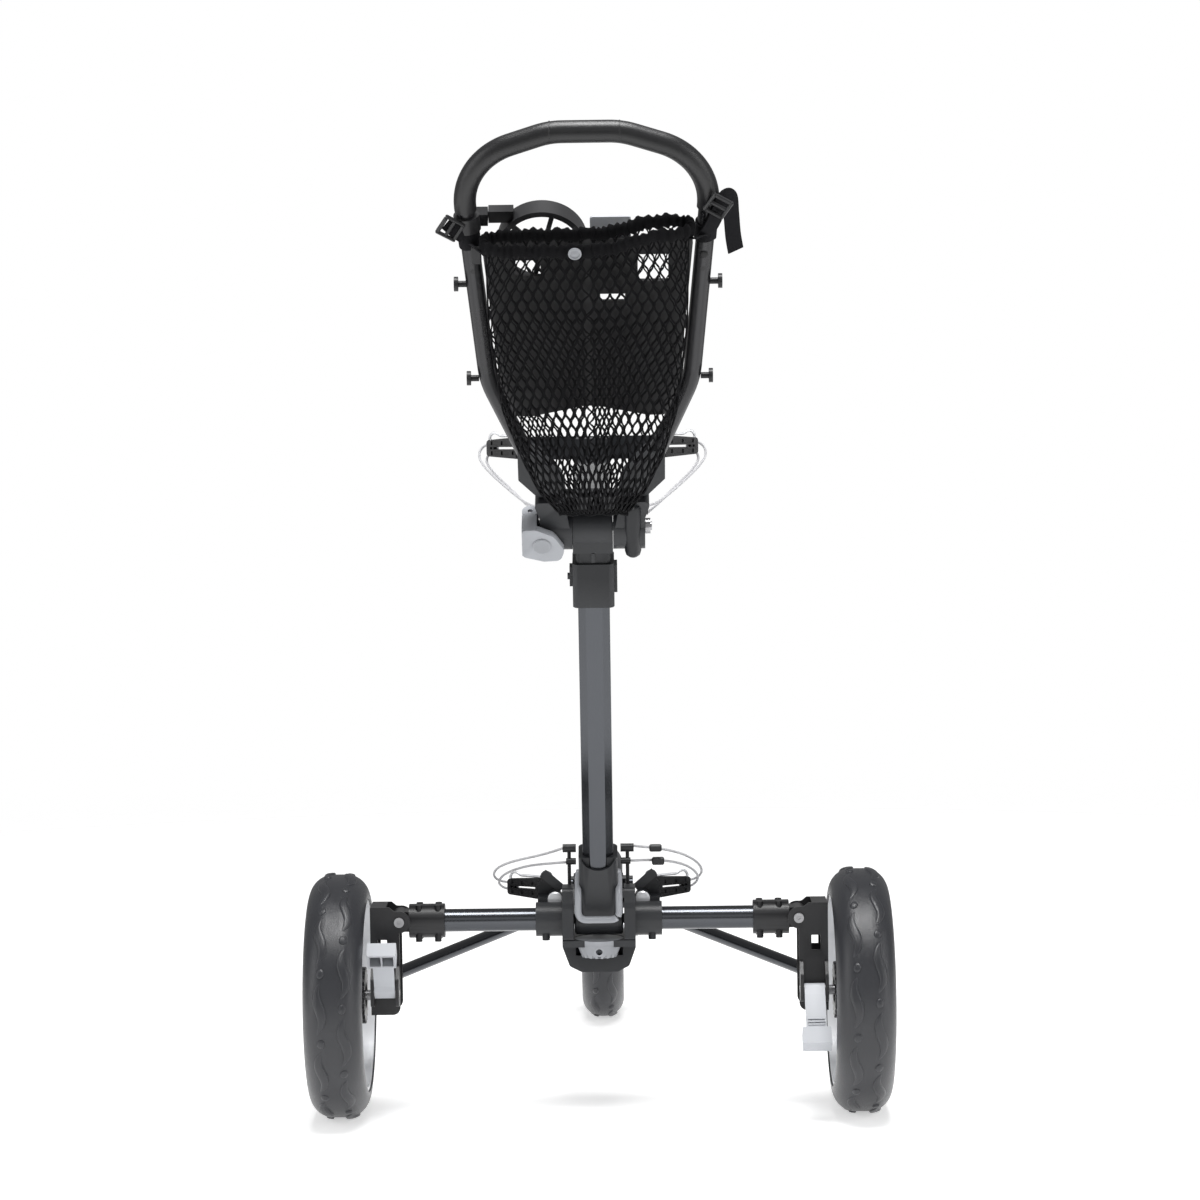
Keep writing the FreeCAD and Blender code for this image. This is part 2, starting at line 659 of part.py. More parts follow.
# ---------------------------------------------------------------- upper joint
def upper_joint():
    """Block on the post, and the yoke of the handle that turns on it round the clamp rod."""
    block = fuse(rod((-23, 0, 0), (1, 0, 0), 23, 46), box((-23, -19, -26), 46, 40, 28))
    hole = rod((-30, 0, 0), (1, 0, 0), "pivot_rod_radius + 0.05", 60)
    frame = POST.multiply(Place(Vec(0, 0, dim("post_length")), FLAT))
    piece("joint_block", cut(block, hole), frame)
    parts = []
    seats = []
    for side in (-1, 1):
        start = 23.4 if side > 0 else -60
        parts.append(rod((start, 0, 0), (1, 0, 0), "ear_radius", 36.6))
        parts.append(plate([(side * 23.4, 0, 4), (side * 60, 0, 4), (side * 60, 27, 6),
                            (side * 67, 50, 6), (side * 32, 50, 6)], 44, turn=REAR_VIEW,
                           corner=(0, 22, 0)))
        seats.append(rod((side * 48, 0, 38), (side * 65, 0, 167), "handle_tube_radius", 60))
    bridge = plate([(-34, 32, 3), (34, 32, 3), (40, 47, 3), (-40, 47, 3)], 20,
                   turn=REAR_VIEW, corner=(0, 10, 0))
    rod_hole = rod((-80, 0, 0), (1, 0, 0), "pivot_rod_radius", 160)
    piece("handle_yoke", cut(fuse(bridge, *parts), rod_hole, *seats), HANDLE)
    clamp = rod((-64, 0, 0), (1, 0, 0), "pivot_rod_radius", 132)
    eye = rod((-71, 0, -5), (0, 0, 1), 5, 10)
    nut = ring((60.3, 0, 0), (1, 0, 0), 9, 5, 6)
    link = box((-71, -4, -4.5), 9, 8, 9)
    pin = rod((-71, 0, -13), (0, 0, 1), 3, 34)
    piece("clamp_rod", group(fuse(clamp, eye, link, pin), nut), HANDLE)


def cam_lever():
    """Quick-release lever: barrel in two halves on its pin, and a thumb paddle behind the ear."""
    lower = rod((-71, 0, -14), (0, 0, 1), 9.5, 8.5)
    upper = rod((-71, 0, 5.5), (0, 0, 1), 9.5, 18)
    web = box((-80.5, -36, -14), 17, 28, 37.5)
    middle = rod((-71, 0, -6), (0, 0, 1), 9.4, 12)
    paddle = plate([(-80.5, 23.5, 5), (-64, 23.5, 8), (-44, 14, 18), (-32, -6, 9),
                    (-37, -20, 8), (-56, -21, 10), (-80.5, -14, 6)], 10, turn=REAR_VIEW,
                   corner=(0, -28, 0))
    bore = rod((-71, 0, -20), (0, 0, 1), 3.05, 60)
    piece("cam_lever", cut(fuse(lower, upper, web, paddle), bore, middle), HANDLE)


# ---------------------------------------------------------------- handle
HANDLE_ROUTE = [(48, 0, 38), (113, 0, 205), (134, 0, 486), (38, 0, 520)]


def both_sides(points):
    """A route that ends left of the middle, and its mirror image in reverse."""
    return points + [(-x, y, z) for x, y, z in reversed(points)]


def tube_middle(height):
    """Distance of the handle tube's centre line from the middle plane, above its lower bend."""
    low, high = HANDLE_ROUTE[1], HANDLE_ROUTE[2]
    return low[0] + (height - low[2]) * (high[0] - low[0]) / (high[2] - low[2])


def tube_rod(side, height, below, radius, length):
    """A rod along the straight part of one handle tube, from some way below a height."""
    low, high = HANDLE_ROUTE[1], HANDLE_ROUTE[2]
    along = (side * (high[0] - low[0]), 0, high[2] - low[2])
    foot = height - below
    return rod((side * tube_middle(foot), 0, foot), along, radius, length)


def handle_frame():
    """U-shaped tube, rubber grip, lower tube sockets and the mushroom studs."""
    route = both_sides(HANDLE_ROUTE)
    bends = [120, 75, 80, 80, 75, 120]
    outer = swept(route, bends, "handle_tube_radius")
    inner = swept(route, bends, "handle_tube_radius - handle_tube_wall")
    holes = [rod((side * tube_middle(354), -20, 354), (0, 1, 0), 2.6, 40) for side in (-1, 1)]
    piece("handle_tube", cut(outer, inner, *holes), HANDLE)
    top = both_sides([(tube_middle(426), 0, 426)] + HANDLE_ROUTE[2:])
    skin = swept(top, bends[1:5], "grip_radius")
    core = swept(top, bends[1:5], "handle_tube_radius")
    piece("handle_grip", cut(skin, core), HANDLE)
    sockets = []
    for side in (-1, 1):
        wing = plate([(side * 83, 118, 4), (side * 83, 76, 3), (side * 62, 52, 3),
                      (side * 34, 52, 3), (side * 34, 72, 4), (side * 60, 106, 6)], 26,
                     turn=REAR_VIEW, corner=(0, 13, 0))
        seat = rod((side * 48, 0, 38), (side * 65, 0, 167), "handle_tube_radius", 110)
        sockets.append(cut(wing, seat))
    piece("handle_sockets", group(*sockets), HANDLE)
    studs = []
    for height in (332, 208):
        for side in (-1, 1):
            start = side * (tube_middle(height) + dim("handle_tube_radius") - 0.25)
            shaft = rod((start, 0, height), (side, 0, 0), "stud_radius", 11)
            head = rod((start + side * 9, 0, height), (side, 0, 0), "stud_head_radius", 4.5)
            studs.append(fuse(shaft, head))
    piece("frame_studs", group(*studs), HANDLE)


def console():
    """Panel between the tubes, cup holder on its arm, and the scorecard clip."""
    outline = [(-114, 392, 6), (114, 392, 6), (99.5, 206, 30), (83, 161, 4), (64, 161, 10),
               (0, 176, 60), (-64, 161, 10), (-83, 161, 4), (-99.5, 206, 30)]
    windows = [rectangle(54, 338, 87, 372), rectangle(-79, 346, -51, 366),
               rectangle(18, 369, 33, 380), rectangle(13, 312, 40, 322)]
    piece("console_panel", plate(outline, 5, windows=windows, turn=REAR_VIEW,
                                 corner=(0, -3, 0)), HANDLE)
    hinge_height = 411
    hinge_y = 15
    tube_x = -tube_middle(hinge_height)
    clamp = tube_rod(-1, hinge_height, 9, 14, 18)
    arm = box((tube_x, 2, hinge_height - 7), 22, 17, 14)
    seat = tube_rod(-1, hinge_height, 30, "handle_tube_radius", 60)
    pin = rod((tube_x + 20, hinge_y, hinge_height), (1, 0, 0), 3, 18)
    piece("cup_arm", fuse(cut(fuse(clamp, arm), seat), pin), HANDLE)
    cup_x, cup_z = -49, 371
    low = 2.5
    lip = ring((cup_x, low, cup_z), (0, 1, 0), "cup_radius", "cup_radius - cup_wall - 2", 3)
    wall = ring((cup_x, low + 3, cup_z), (0, 1, 0), "cup_radius", "cup_radius - cup_wall",
                "cup_depth - 3")
    lug = box((tube_x + 22.5, hinge_y - 7, hinge_height - 7), 27, 14, 14)
    inside = rod((cup_x, 0, cup_z), (0, 1, 0), "cup_radius - 1", 40)
    ears = cut(lug, inside, rod((tube_x + 10, hinge_y, hinge_height), (1, 0, 0), 3.05, 30))
    hub_disc = ring((cup_x, low, cup_z), (0, 1, 0), 15, 9, 3)
    spokes = []
    for number in range(6):
        spoke = box((0, 0, 0), 5, 3, dim("cup_radius") - 16)
        lean = Turn(Vec(0, 1, 0), 60 * number + 15)
        spoke.Placement = Place(Vec(cup_x, low, cup_z) + lean.multVec(Vec(-2.5, 0, 13)), lean)
        spokes.append(spoke)
    piece("cup_holder", fuse(lip, wall, ears, hub_disc, *spokes), HANDLE)
    board = plate([(6, 331), (44, 331), (44, 336), (47, 336), (47, 413, 3), (3, 413, 3),
                   (3, 336), (6, 336)], 2.5, turn=REAR_VIEW, corner=(0, 5.3, 0))
    barrel = rod((6, 3, 330), (1, 0, 0), 2.8, 38)
    bore = rod((0, 3, 330), (1, 0, 0), 1.25, 60)
    piece("scorecard_clip", cut(fuse(board, barrel), bore), HANDLE)
    lugs = [box((start, -3, 327.5), 2.6, 8.5, 5) for start in (3, 44.4)]
    piece("clip_hinge", fuse(rod((3, 3, 330), (1, 0, 0), 1.2, 44), *lugs), HANDLE)


NET_SECTIONS = [(400, -112, -50, 112, -13.5, 14), (300, -110, -66, 109, -13.5, 16),
                (200, -98, -76, 98, -13.5, 16), (140, -80, -74, 83, -15, 16),
                (92, -62, -66, 64, -32, 14), (60, -42, -58, 46, -37, 9)]


def net_bag():
    """Soft bag as a plain open shell, with its webbing straps and buckles."""
    skin = 3
    outer = lofted(NET_SECTIONS)
    inside = []
    for height, x0, y0, x1, y1, radius in NET_SECTIONS:
        inside.append((height, x0 + skin, y0 + skin, x1 - skin, y1 - skin, radius - skin))
    inside[0] = (NET_SECTIONS[0][0] + 1, *inside[0][1:])
    inside[-1] = (NET_SECTIONS[-1][0] + skin, *inside[-1][1:])
    piece("net_bag", cut(outer, lofted(inside)), HANDLE)
    straps = []
    buckles = []
    for side, height, buckle_height in ((-1, 388, 386), (1, 398, 426)):
        middle = side * tube_middle(height)
        wrap = cut(tube_rod(side, height, 9, 13, 18),
                   tube_rod(side, height, 30, "handle_tube_radius + 0.2", 60))
        straps.append(wrap)
        start = middle + 15.5 if side > 0 else middle - 14 - 17
        buckles.append(box((start, -9, buckle_height - 11), 17, 5, 22))
    tail = box((153, -3, 396), 3, 15, 56)
    straps.append(tail)
    piece("net_straps", group(*straps), HANDLE)
    piece("strap_buckles", group(*buckles), HANDLE)


# ---------------------------------------------------------------- bag brackets
ARM_HEADING = 30
CORD_OFFSET = 4.8


def arm_point(root, side, along, forward, up):
    """A point given along an arm, forward of its middle plane and above its middle line."""
    turn = math.radians(ARM_HEADING)
    out = along * math.cos(turn) - forward * math.sin(turn)
    ahead = along * math.sin(turn) + forward * math.cos(turn)
    return (root[0] * side + side * out, root[1] + ahead, root[2] + up)


def bag_arm(root, side):
    """Arm of two bars with windows, and a peg on its front that holds the cord."""
    length = dim("arm_length")
    half = dim("arm_height") / 2
    outline = [(0, -half, 3), (length, 4 - half, 4), (length, half - 4, 4), (0, half, 3)]
    gap = rectangle(10, -1.3, length - 5, 1.3)
    windows = [gap]
    for start in (6, 21, 35):
        windows.append(rectangle(start, 3.6, start + 9, 8.2))
        windows.append(rectangle(start, -8.2, start + 9, -3.6))
    half_wall = dim("arm_wall") / 2
    arm = plate(outline, "arm_wall", windows=windows, turn=REAR_VIEW, corner=(0, half_wall, 0))
    peg = rod((length - 6, half_wall - 4, 0), (0, 1, 0), 2.6, 10)
    knob = rod((length - 6, half_wall + 4, 0), (0, 1, 0), 4, 2)
    whole = fuse(arm, peg, knob)
    heading = ARM_HEADING if side > 0 else 180 - ARM_HEADING
    turn = Turn(Vec(0, 0, 1), heading)
    if side < 0:
        turn = turn.multiply(Turn(Vec(1, 0, 0), 180))
    whole.Placement = Place(Vec(side * root[0], root[1], root[2]), turn)
    return whole


LOWER_ROOT = (68, 50, 266)
UPPER_ROOT = (80, 84, 90)


def lower_bag_bracket():
    """Saddle on the axle sleeves, slotted arms, and the posts of the elastic cords."""
    parts = []
    for side in (-1, 1):
        start = 46 if side > 0 else -74
        parts.append(box((start, 12, 252), 28, 38, 8))
        parts.append(plate([(side * 44.5, 258, 2), (side * 56, 258, 2), (side * 73, 282, 6),
                            (side * 66, 290, 6), (side * 58, 286, 6)], 10, turn=REAR_VIEW,
                           corner=(0, 48, 0)))
        parts.append(plate([(side * 52, 256, 2), (side * 76, 254, 2), (side * 72, 278, 4),
                            (side * 60, 276, 4)], 12, turn=REAR_VIEW, corner=(0, 52, 0)))
        parts.append(rod((side * 53, 14, 258), (0, 1, 0), 9, 26))
    sleeves = rod((-90, 0, dim("axle_height")), (1, 0, 0), "sleeve_radius", 180)
    hub_block = box((-44.2, -40, 180), 88.4, 74.2, 100)
    saddle = cut(fuse(*parts), sleeves, hub_block)
    piece("lower_saddle", saddle)
    arms = [bag_arm(LOWER_ROOT, side) for side in (-1, 1)]
    piece("lower_bag_arms", group(*[cut(arm, saddle_copy()) for arm in arms]))
    posts = []
    for side in (-1, 1):
        start = 27 if side > 0 else -43
        upper_peg = rod((start, 14, 320), (1, 0, 0), "peg_radius", 16)
        lower_peg = rod((start + (0 if side > 0 else 4), 14, 304), (1, 0, 0), 4, 12)
        stem = rod((side * 35.3, 14, 276), (0, 0, 1), 2.2, 44)
        posts.append(fuse(upper_peg, lower_peg, stem))
    piece("cord_posts", group(*posts))


def saddle_copy():
    """The part of the saddle that the arms' roots must leave room for."""
    blocks = []
    for side in (-1, 1):
        start = 44 if side > 0 else -76
        blocks.append(box((start, 38, 250), 32, 14, 44))
    return fuse(*blocks)


def upper_bag_bracket():
    """Stem on the joint block with a cross plate, two arms and the cord lugs."""
    stem = plate([(14, -16, 4), (32, -16, 8), (84, 60, 10), (84, 102, 3), (76, 102, 3),
                  (76, 72, 10), (24, 14, 6), (14, 8, 3)], 40, turn=SIDE_VIEW,
                 corner=(-20, 0, 0))
    cross = plate([(-84, 76, 4), (84, 76, 4), (84, 103, 4), (-84, 103, 4)], 6,
                  turn=REAR_VIEW, corner=(0, 86, 0))
    lugs = [rod((-64, 38, 18), (1, 0, 0), 6.5, 128)]
    block_room = rod((-40, 0, 0), (1, 0, 0), 23, 80)
    block_box = box((-23, -19, -26), 46, 40, 28)
    block_box.Placement = Place(Vec(), Turn(Vec(1, 0, 0), dim("post_lean"))).multiply(
        block_box.Placement)
    piece("upper_bracket", cut(fuse(stem, cross, *lugs), block_room, block_box), JOINT_LEVEL)
    room = box((-90, 78, 60), 176, 8.2, 60)
    arms = [cut(bag_arm(UPPER_ROOT, side), room) for side in (-1, 1)]
    piece("upper_bag_arms", group(*arms), JOINT_LEVEL)


# ---------------------------------------------------------------- elastic cords
UPPER_RIGHT = [(64, 40, 22), (73, 45, 24), (86, 58, 32), (102, 74, 45), (117, 88, 58),
               (128, 99, 69), (134, 108, 79), (133, 114, 88), (125, 115, 94.8)]
UPPER_RIGHT_BACK = [(122, 113.5, 84), (126, 110, 75), (120, 101, 65), (108, 87, 53),
                    (92, 70, 39), (77, 53, 24), (64, 44, 14)]
LOWER_RIGHT = [(43, 14, 322), (58, 17, 320), (80, 26, 316), (101, 39, 309), (116, 52, 300),
               (125, 64, 290), (127, 74, 280), (121, 80.5, 273), (112, 80.5, 270.2)]
LOWER_RIGHT_BACK = [(110, 79.5, 261.8), (118, 77, 266), (123, 68, 275), (117, 56, 286),
                    (104, 44, 295), (84, 32, 301), (58, 20, 304), (39, 14, 304)]
LOWER_LEFT = [(-43, 14, 320), (-57, 17, 315), (-78, 24, 309), (-100, 36, 303),
              (-117, 50, 296), (-127, 63, 288), (-130, 74, 279), (-123, 80.5, 272),
              (-112, 80, 270.2)]
LOWER_LEFT_BACK = [(-110, 79.5, 261.8), (-119, 77, 264.5), (-124, 67, 272), (-118, 55, 282),
                   (-105, 44, 290), (-85, 32, 297), (-59, 20, 301), (-39, 14, 303)]


def hooked(root, side, outward, inward):
    """A cord that goes out, round the arm's peg and back."""
    turn = [arm_point(root, side, 39.5, CORD_OFFSET, 4.5),
            arm_point(root, side, 39.5, CORD_OFFSET, -4.5)]
    return outward + turn + inward


def mirrored(points):
    return [(-x, y, z) for x, y, z in points]


def elastic_cords():
    cord("upper_cord_right", hooked(UPPER_ROOT, 1, UPPER_RIGHT, UPPER_RIGHT_BACK), JOINT_LEVEL)
    cord("upper_cord_left", hooked(UPPER_ROOT, -1, mirrored(UPPER_RIGHT),
                                   mirrored(UPPER_RIGHT_BACK)), JOINT_LEVEL)
    cord("lower_cord_right", hooked(LOWER_ROOT, 1, LOWER_RIGHT, LOWER_RIGHT_BACK))
    cord("lower_cord_left", hooked(LOWER_ROOT, -1, LOWER_LEFT, LOWER_LEFT_BACK))


def main():
    sleeves_and_pins = []
    for side, name in ((-1, "left"), (1, "right")):
        rear_wheel(side, name)
        wheel_bracket(side, name)
        brake_pedal(side, name, dim("pedal_angle") * -side)
        sleeves_and_pins.append(rear_axle(side, name))
    piece("hub_sleeves", group(*[pair[0] for pair in sleeves_and_pins]))
    piece("knuckle_pins", group(*[pair[1] for pair in sleeves_and_pins]))
    hub()
    front_end()
    struts()
    post()
    release_loop()
    upper_joint()
    cam_lever()
    handle_frame()
    console()
    net_bag()
    lower_bag_bracket()
    upper_bag_bracket()
    elastic_cords()


def check_and_export():
    """Stop at the first failed object, then write one file for each sub-part."""
    doc.recompute()
    for thing in doc.Objects:
        if "Invalid" in thing.State or "Error" in thing.State:
            raise RuntimeError(f"{thing.Name} in {thing.Label} failed: {thing.State}")
    for thing in pieces:
        if thing.Shape.isNull() or not thing.Shape.isValid():
            raise RuntimeError(f"{thing.Label} has no valid shape")
    for bar, length in cords:
        share = bar.Shape.Volume / (math.pi * dim("cord_radius") ** 2 * length)
        print(bar.Label, "volume over section times length", round(share, 4))
    os.makedirs("parts", exist_ok=True)
    for thing in pieces:
        thing.Shape.exportStep(f"parts/{thing.Label}.step")
    print(len(pieces), "sub-parts written")


main()
check_and_export()
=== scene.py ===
import json
import math
import random

import bmesh
import bpy
from mathutils import Matrix, Vector


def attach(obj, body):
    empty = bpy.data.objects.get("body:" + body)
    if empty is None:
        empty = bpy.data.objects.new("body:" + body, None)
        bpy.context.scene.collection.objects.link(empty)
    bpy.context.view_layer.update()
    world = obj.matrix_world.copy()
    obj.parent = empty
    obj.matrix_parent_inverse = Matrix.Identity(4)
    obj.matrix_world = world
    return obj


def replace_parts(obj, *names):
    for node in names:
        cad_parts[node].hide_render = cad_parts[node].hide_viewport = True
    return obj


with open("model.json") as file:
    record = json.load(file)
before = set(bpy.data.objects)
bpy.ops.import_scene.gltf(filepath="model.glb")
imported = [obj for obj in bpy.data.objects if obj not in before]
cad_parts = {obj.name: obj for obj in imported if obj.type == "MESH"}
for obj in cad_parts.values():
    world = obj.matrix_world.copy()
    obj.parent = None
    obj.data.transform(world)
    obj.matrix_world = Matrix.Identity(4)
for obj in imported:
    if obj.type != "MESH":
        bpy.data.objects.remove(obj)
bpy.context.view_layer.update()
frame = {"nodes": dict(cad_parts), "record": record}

random.seed(7)

# ---------------------------------------------------------------- frames of reference
REAR_AXLE_Y = -0.1425
CART = Matrix.Translation((0, REAR_AXLE_Y, 0))
POST = CART @ Matrix.Translation((0, 0, 0.236)) @ Matrix.Rotation(math.radians(20), 4, "X")
JOINT = POST @ Vector((0, 0, 0.511))
LEVEL = Matrix.Translation(JOINT)
HANDLE = LEVEL @ Matrix.Rotation(math.radians(35), 4, "X")


def at(place, x, y, z):
    """A point given in millimetres in one of the frames above."""
    return place @ Vector((x / 1000, y / 1000, z / 1000))


# ---------------------------------------------------------------- camera
LENS_MM = 100
SENSOR_MM = 36
DISTANCE = 4.0
CAMERA_SIDE = 0.030
CAMERA_HEIGHT = 0.85
PITCH = math.radians(3.27)
YAW = math.radians(0.34)
ROLL = math.radians(0.75)


def make_camera():
    data = bpy.data.cameras.new("camera")
    data.lens = LENS_MM
    data.sensor_width = SENSOR_MM
    camera = bpy.data.objects.new("camera", data)
    bpy.context.scene.collection.objects.link(camera)
    ahead = Vector((-math.sin(YAW) * math.cos(PITCH), math.cos(YAW) * math.cos(PITCH),
                    -math.sin(PITCH)))
    right = ahead.cross(Vector((0, 0, 1))).normalized()
    up = right.cross(ahead)
    rolled_right = right * math.cos(ROLL) - up * math.sin(ROLL)
    rolled_up = up * math.cos(ROLL) + right * math.sin(ROLL)
    turn = Matrix((rolled_right, rolled_up, -ahead)).transposed().to_4x4()
    stand = Vector((CAMERA_SIDE, REAR_AXLE_Y - DISTANCE, CAMERA_HEIGHT))
    camera.matrix_world = Matrix.Translation(stand) @ turn
    bpy.context.scene.camera = camera


make_camera()


# ---------------------------------------------------------------- materials
EDGE_WEAR_AND_HIGHLIGHT_FROM, EDGE_WEAR_AND_HIGHLIGHT_FULL = 0.53, 0.62
RELIEF_DEPTH = 0.0006


def material(name, colour, rough, metal=0.0, patch=0.12, patch_size=18, grain=900,
             bump=0.05, rough_spread=0.08, wear_and_highlight=0.0, stretch=(1, 1, 1), pattern="noise",
             specular=0.5):
    """Moulded, painted or brushed surface: colour variation, uneven gloss, grain, and edges
    lightened partly as wear, partly as painted highlight.
    """
    made = bpy.data.materials.new(name)
    made.use_nodes = True
    nodes, links = made.node_tree.nodes, made.node_tree.links
    shader = nodes["Principled BSDF"]
    shader.inputs["Metallic"].default_value = metal
    shader.inputs["Specular IOR Level"].default_value = specular
    where = nodes.new("ShaderNodeTexCoord")
    mapping = nodes.new("ShaderNodeMapping")
    mapping.inputs["Scale"].default_value = stretch
    links.new(where.outputs["Object"], mapping.inputs["Vector"])
    cloud = nodes.new("ShaderNodeTexNoise")
    cloud.inputs["Scale"].default_value = patch_size
    cloud.inputs["Detail"].default_value = 6
    links.new(mapping.outputs["Vector"], cloud.inputs["Vector"])
    tint = nodes.new("ShaderNodeMix")
    tint.data_type = "RGBA"
    tint.inputs["A"].default_value = (*[c * (1 - patch) for c in colour], 1)
    tint.inputs["B"].default_value = (*[min(1, c * (1 + patch)) for c in colour], 1)
    links.new(cloud.outputs["Fac"], tint.inputs["Factor"])
    coloured = tint.outputs["Result"]
    # Sharp edges are painted lighter: partly edge wear, partly a painted highlight along edges.
    if wear_and_highlight:
        shape = nodes.new("ShaderNodeNewGeometry")
        edge = nodes.new("ShaderNodeMapRange")
        edge.inputs["From Min"].default_value = EDGE_WEAR_AND_HIGHLIGHT_FROM
        edge.inputs["From Max"].default_value = EDGE_WEAR_AND_HIGHLIGHT_FULL
        edge.inputs["To Max"].default_value = wear_and_highlight
        links.new(shape.outputs["Pointiness"], edge.inputs["Value"])
        worn_and_highlit = nodes.new("ShaderNodeMix")
        worn_and_highlit.data_type = "RGBA"
        worn_and_highlit.inputs["B"].default_value = (*[min(1, c * 2.4 + 0.05) for c in colour], 1)
        links.new(edge.outputs["Result"], worn_and_highlit.inputs["Factor"])
        links.new(coloured, worn_and_highlit.inputs["A"])
        coloured = worn_and_highlit.outputs["Result"]
    links.new(coloured, shader.inputs["Base Color"])
    gloss = nodes.new("ShaderNodeMapRange")
    gloss.inputs["To Min"].default_value = rough - rough_spread
    gloss.inputs["To Max"].default_value = rough + rough_spread
    links.new(cloud.outputs["Fac"], gloss.inputs["Value"])
    links.new(gloss.outputs["Result"], shader.inputs["Roughness"])
    if pattern == "weave":
        fine = nodes.new("ShaderNodeTexWave")
        fine.inputs["Scale"].default_value = grain
        fine.inputs["Distortion"].default_value = 1.5
    else:
        fine = nodes.new("ShaderNodeTexNoise")
        fine.inputs["Scale"].default_value = grain
        fine.inputs["Detail"].default_value = 3
    links.new(mapping.outputs["Vector"], fine.inputs["Vector"])
    relief = nodes.new("ShaderNodeBump")
    relief.inputs["Strength"].default_value = bump
    relief.inputs["Distance"].default_value = RELIEF_DEPTH
    links.new(fine.outputs["Fac"], relief.inputs["Height"])
    links.new(relief.outputs["Normal"], shader.inputs["Normal"])
    return made


MATERIALS = {
    "tube_metal": material("tube_metal", (0.055, 0.058, 0.064), 0.24, 1.0, wear_and_highlight=0.2),
    "frame_black": material("frame_black", (0.012, 0.012, 0.014), 0.28, 0.2, wear_and_highlight=0.25),
    "hub_plastic": material("hub_plastic", (0.011, 0.012, 0.014), 0.38, bump=0.22, wear_and_highlight=0.3,
                            specular=0.3),
    "bracket_plastic": material("bracket_plastic", (0.006, 0.006, 0.007), 0.36, bump=0.2,
                                wear_and_highlight=0.3, specular=0.3),
    "grey_plastic": material("grey_plastic", (0.36, 0.372, 0.395), 0.46, patch=0.05, bump=0.15,
                             wear_and_highlight=0.2),
    "lever_grey": material("lever_grey", (0.27, 0.28, 0.30), 0.34, patch=0.06, bump=0.1,
                           wear_and_highlight=0.2),
    "tyre_foam": material("tyre_foam", (0.021, 0.022, 0.026), 0.34, patch=0.16, patch_size=26,
                          grain=1300, bump=0.45, wear_and_highlight=0.25),
    "rim_silver": material("rim_silver", (0.66, 0.67, 0.69), 0.33, 0.35, patch=0.05, wear_and_highlight=0.2),
    "black_rubber": material("black_rubber", (0.007, 0.007, 0.008), 0.40, grain=1500, bump=0.3),
    "steel": material("steel", (0.36, 0.36, 0.37), 0.30, 1.0, patch=0.08, grain=700,
                      stretch=(1, 14, 14), bump=0.15),
    "webbing": material("webbing", (0.010, 0.010, 0.012), 0.82, patch=0.3, grain=420, bump=0.9,
                        pattern="weave", specular=0.2),
    "net": material("net", (0.008, 0.008, 0.0095), 0.85, patch=0.35, grain=900, bump=0.9,
                    pattern="weave", specular=0.15),
    "cord_white": material("cord_white", (0.66, 0.66, 0.68), 0.62, patch=0.1, grain=700,
                           bump=0.7, pattern="weave"),
    "black_plastic": material("black_plastic", (0.007, 0.007, 0.008), 0.34, bump=0.15,
                              wear_and_highlight=0.3, specular=0.3),
}

SLOTS = {part["node"]: part["material_slot"] for part in frame["record"]["subparts"]}
for node, thing in frame["nodes"].items():
    thing.data.materials.clear()
    thing.data.materials.append(MATERIALS[SLOTS[node]])


# ---------------------------------------------------------------- building pieces
def finished(thing, body, slot):
    """Material, body and slot for a new piece."""
    if thing.name not in bpy.context.scene.collection.all_objects:
        bpy.context.scene.collection.objects.link(thing)
    thing.data.materials.append(MATERIALS[slot])
    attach(thing, body)
    return thing


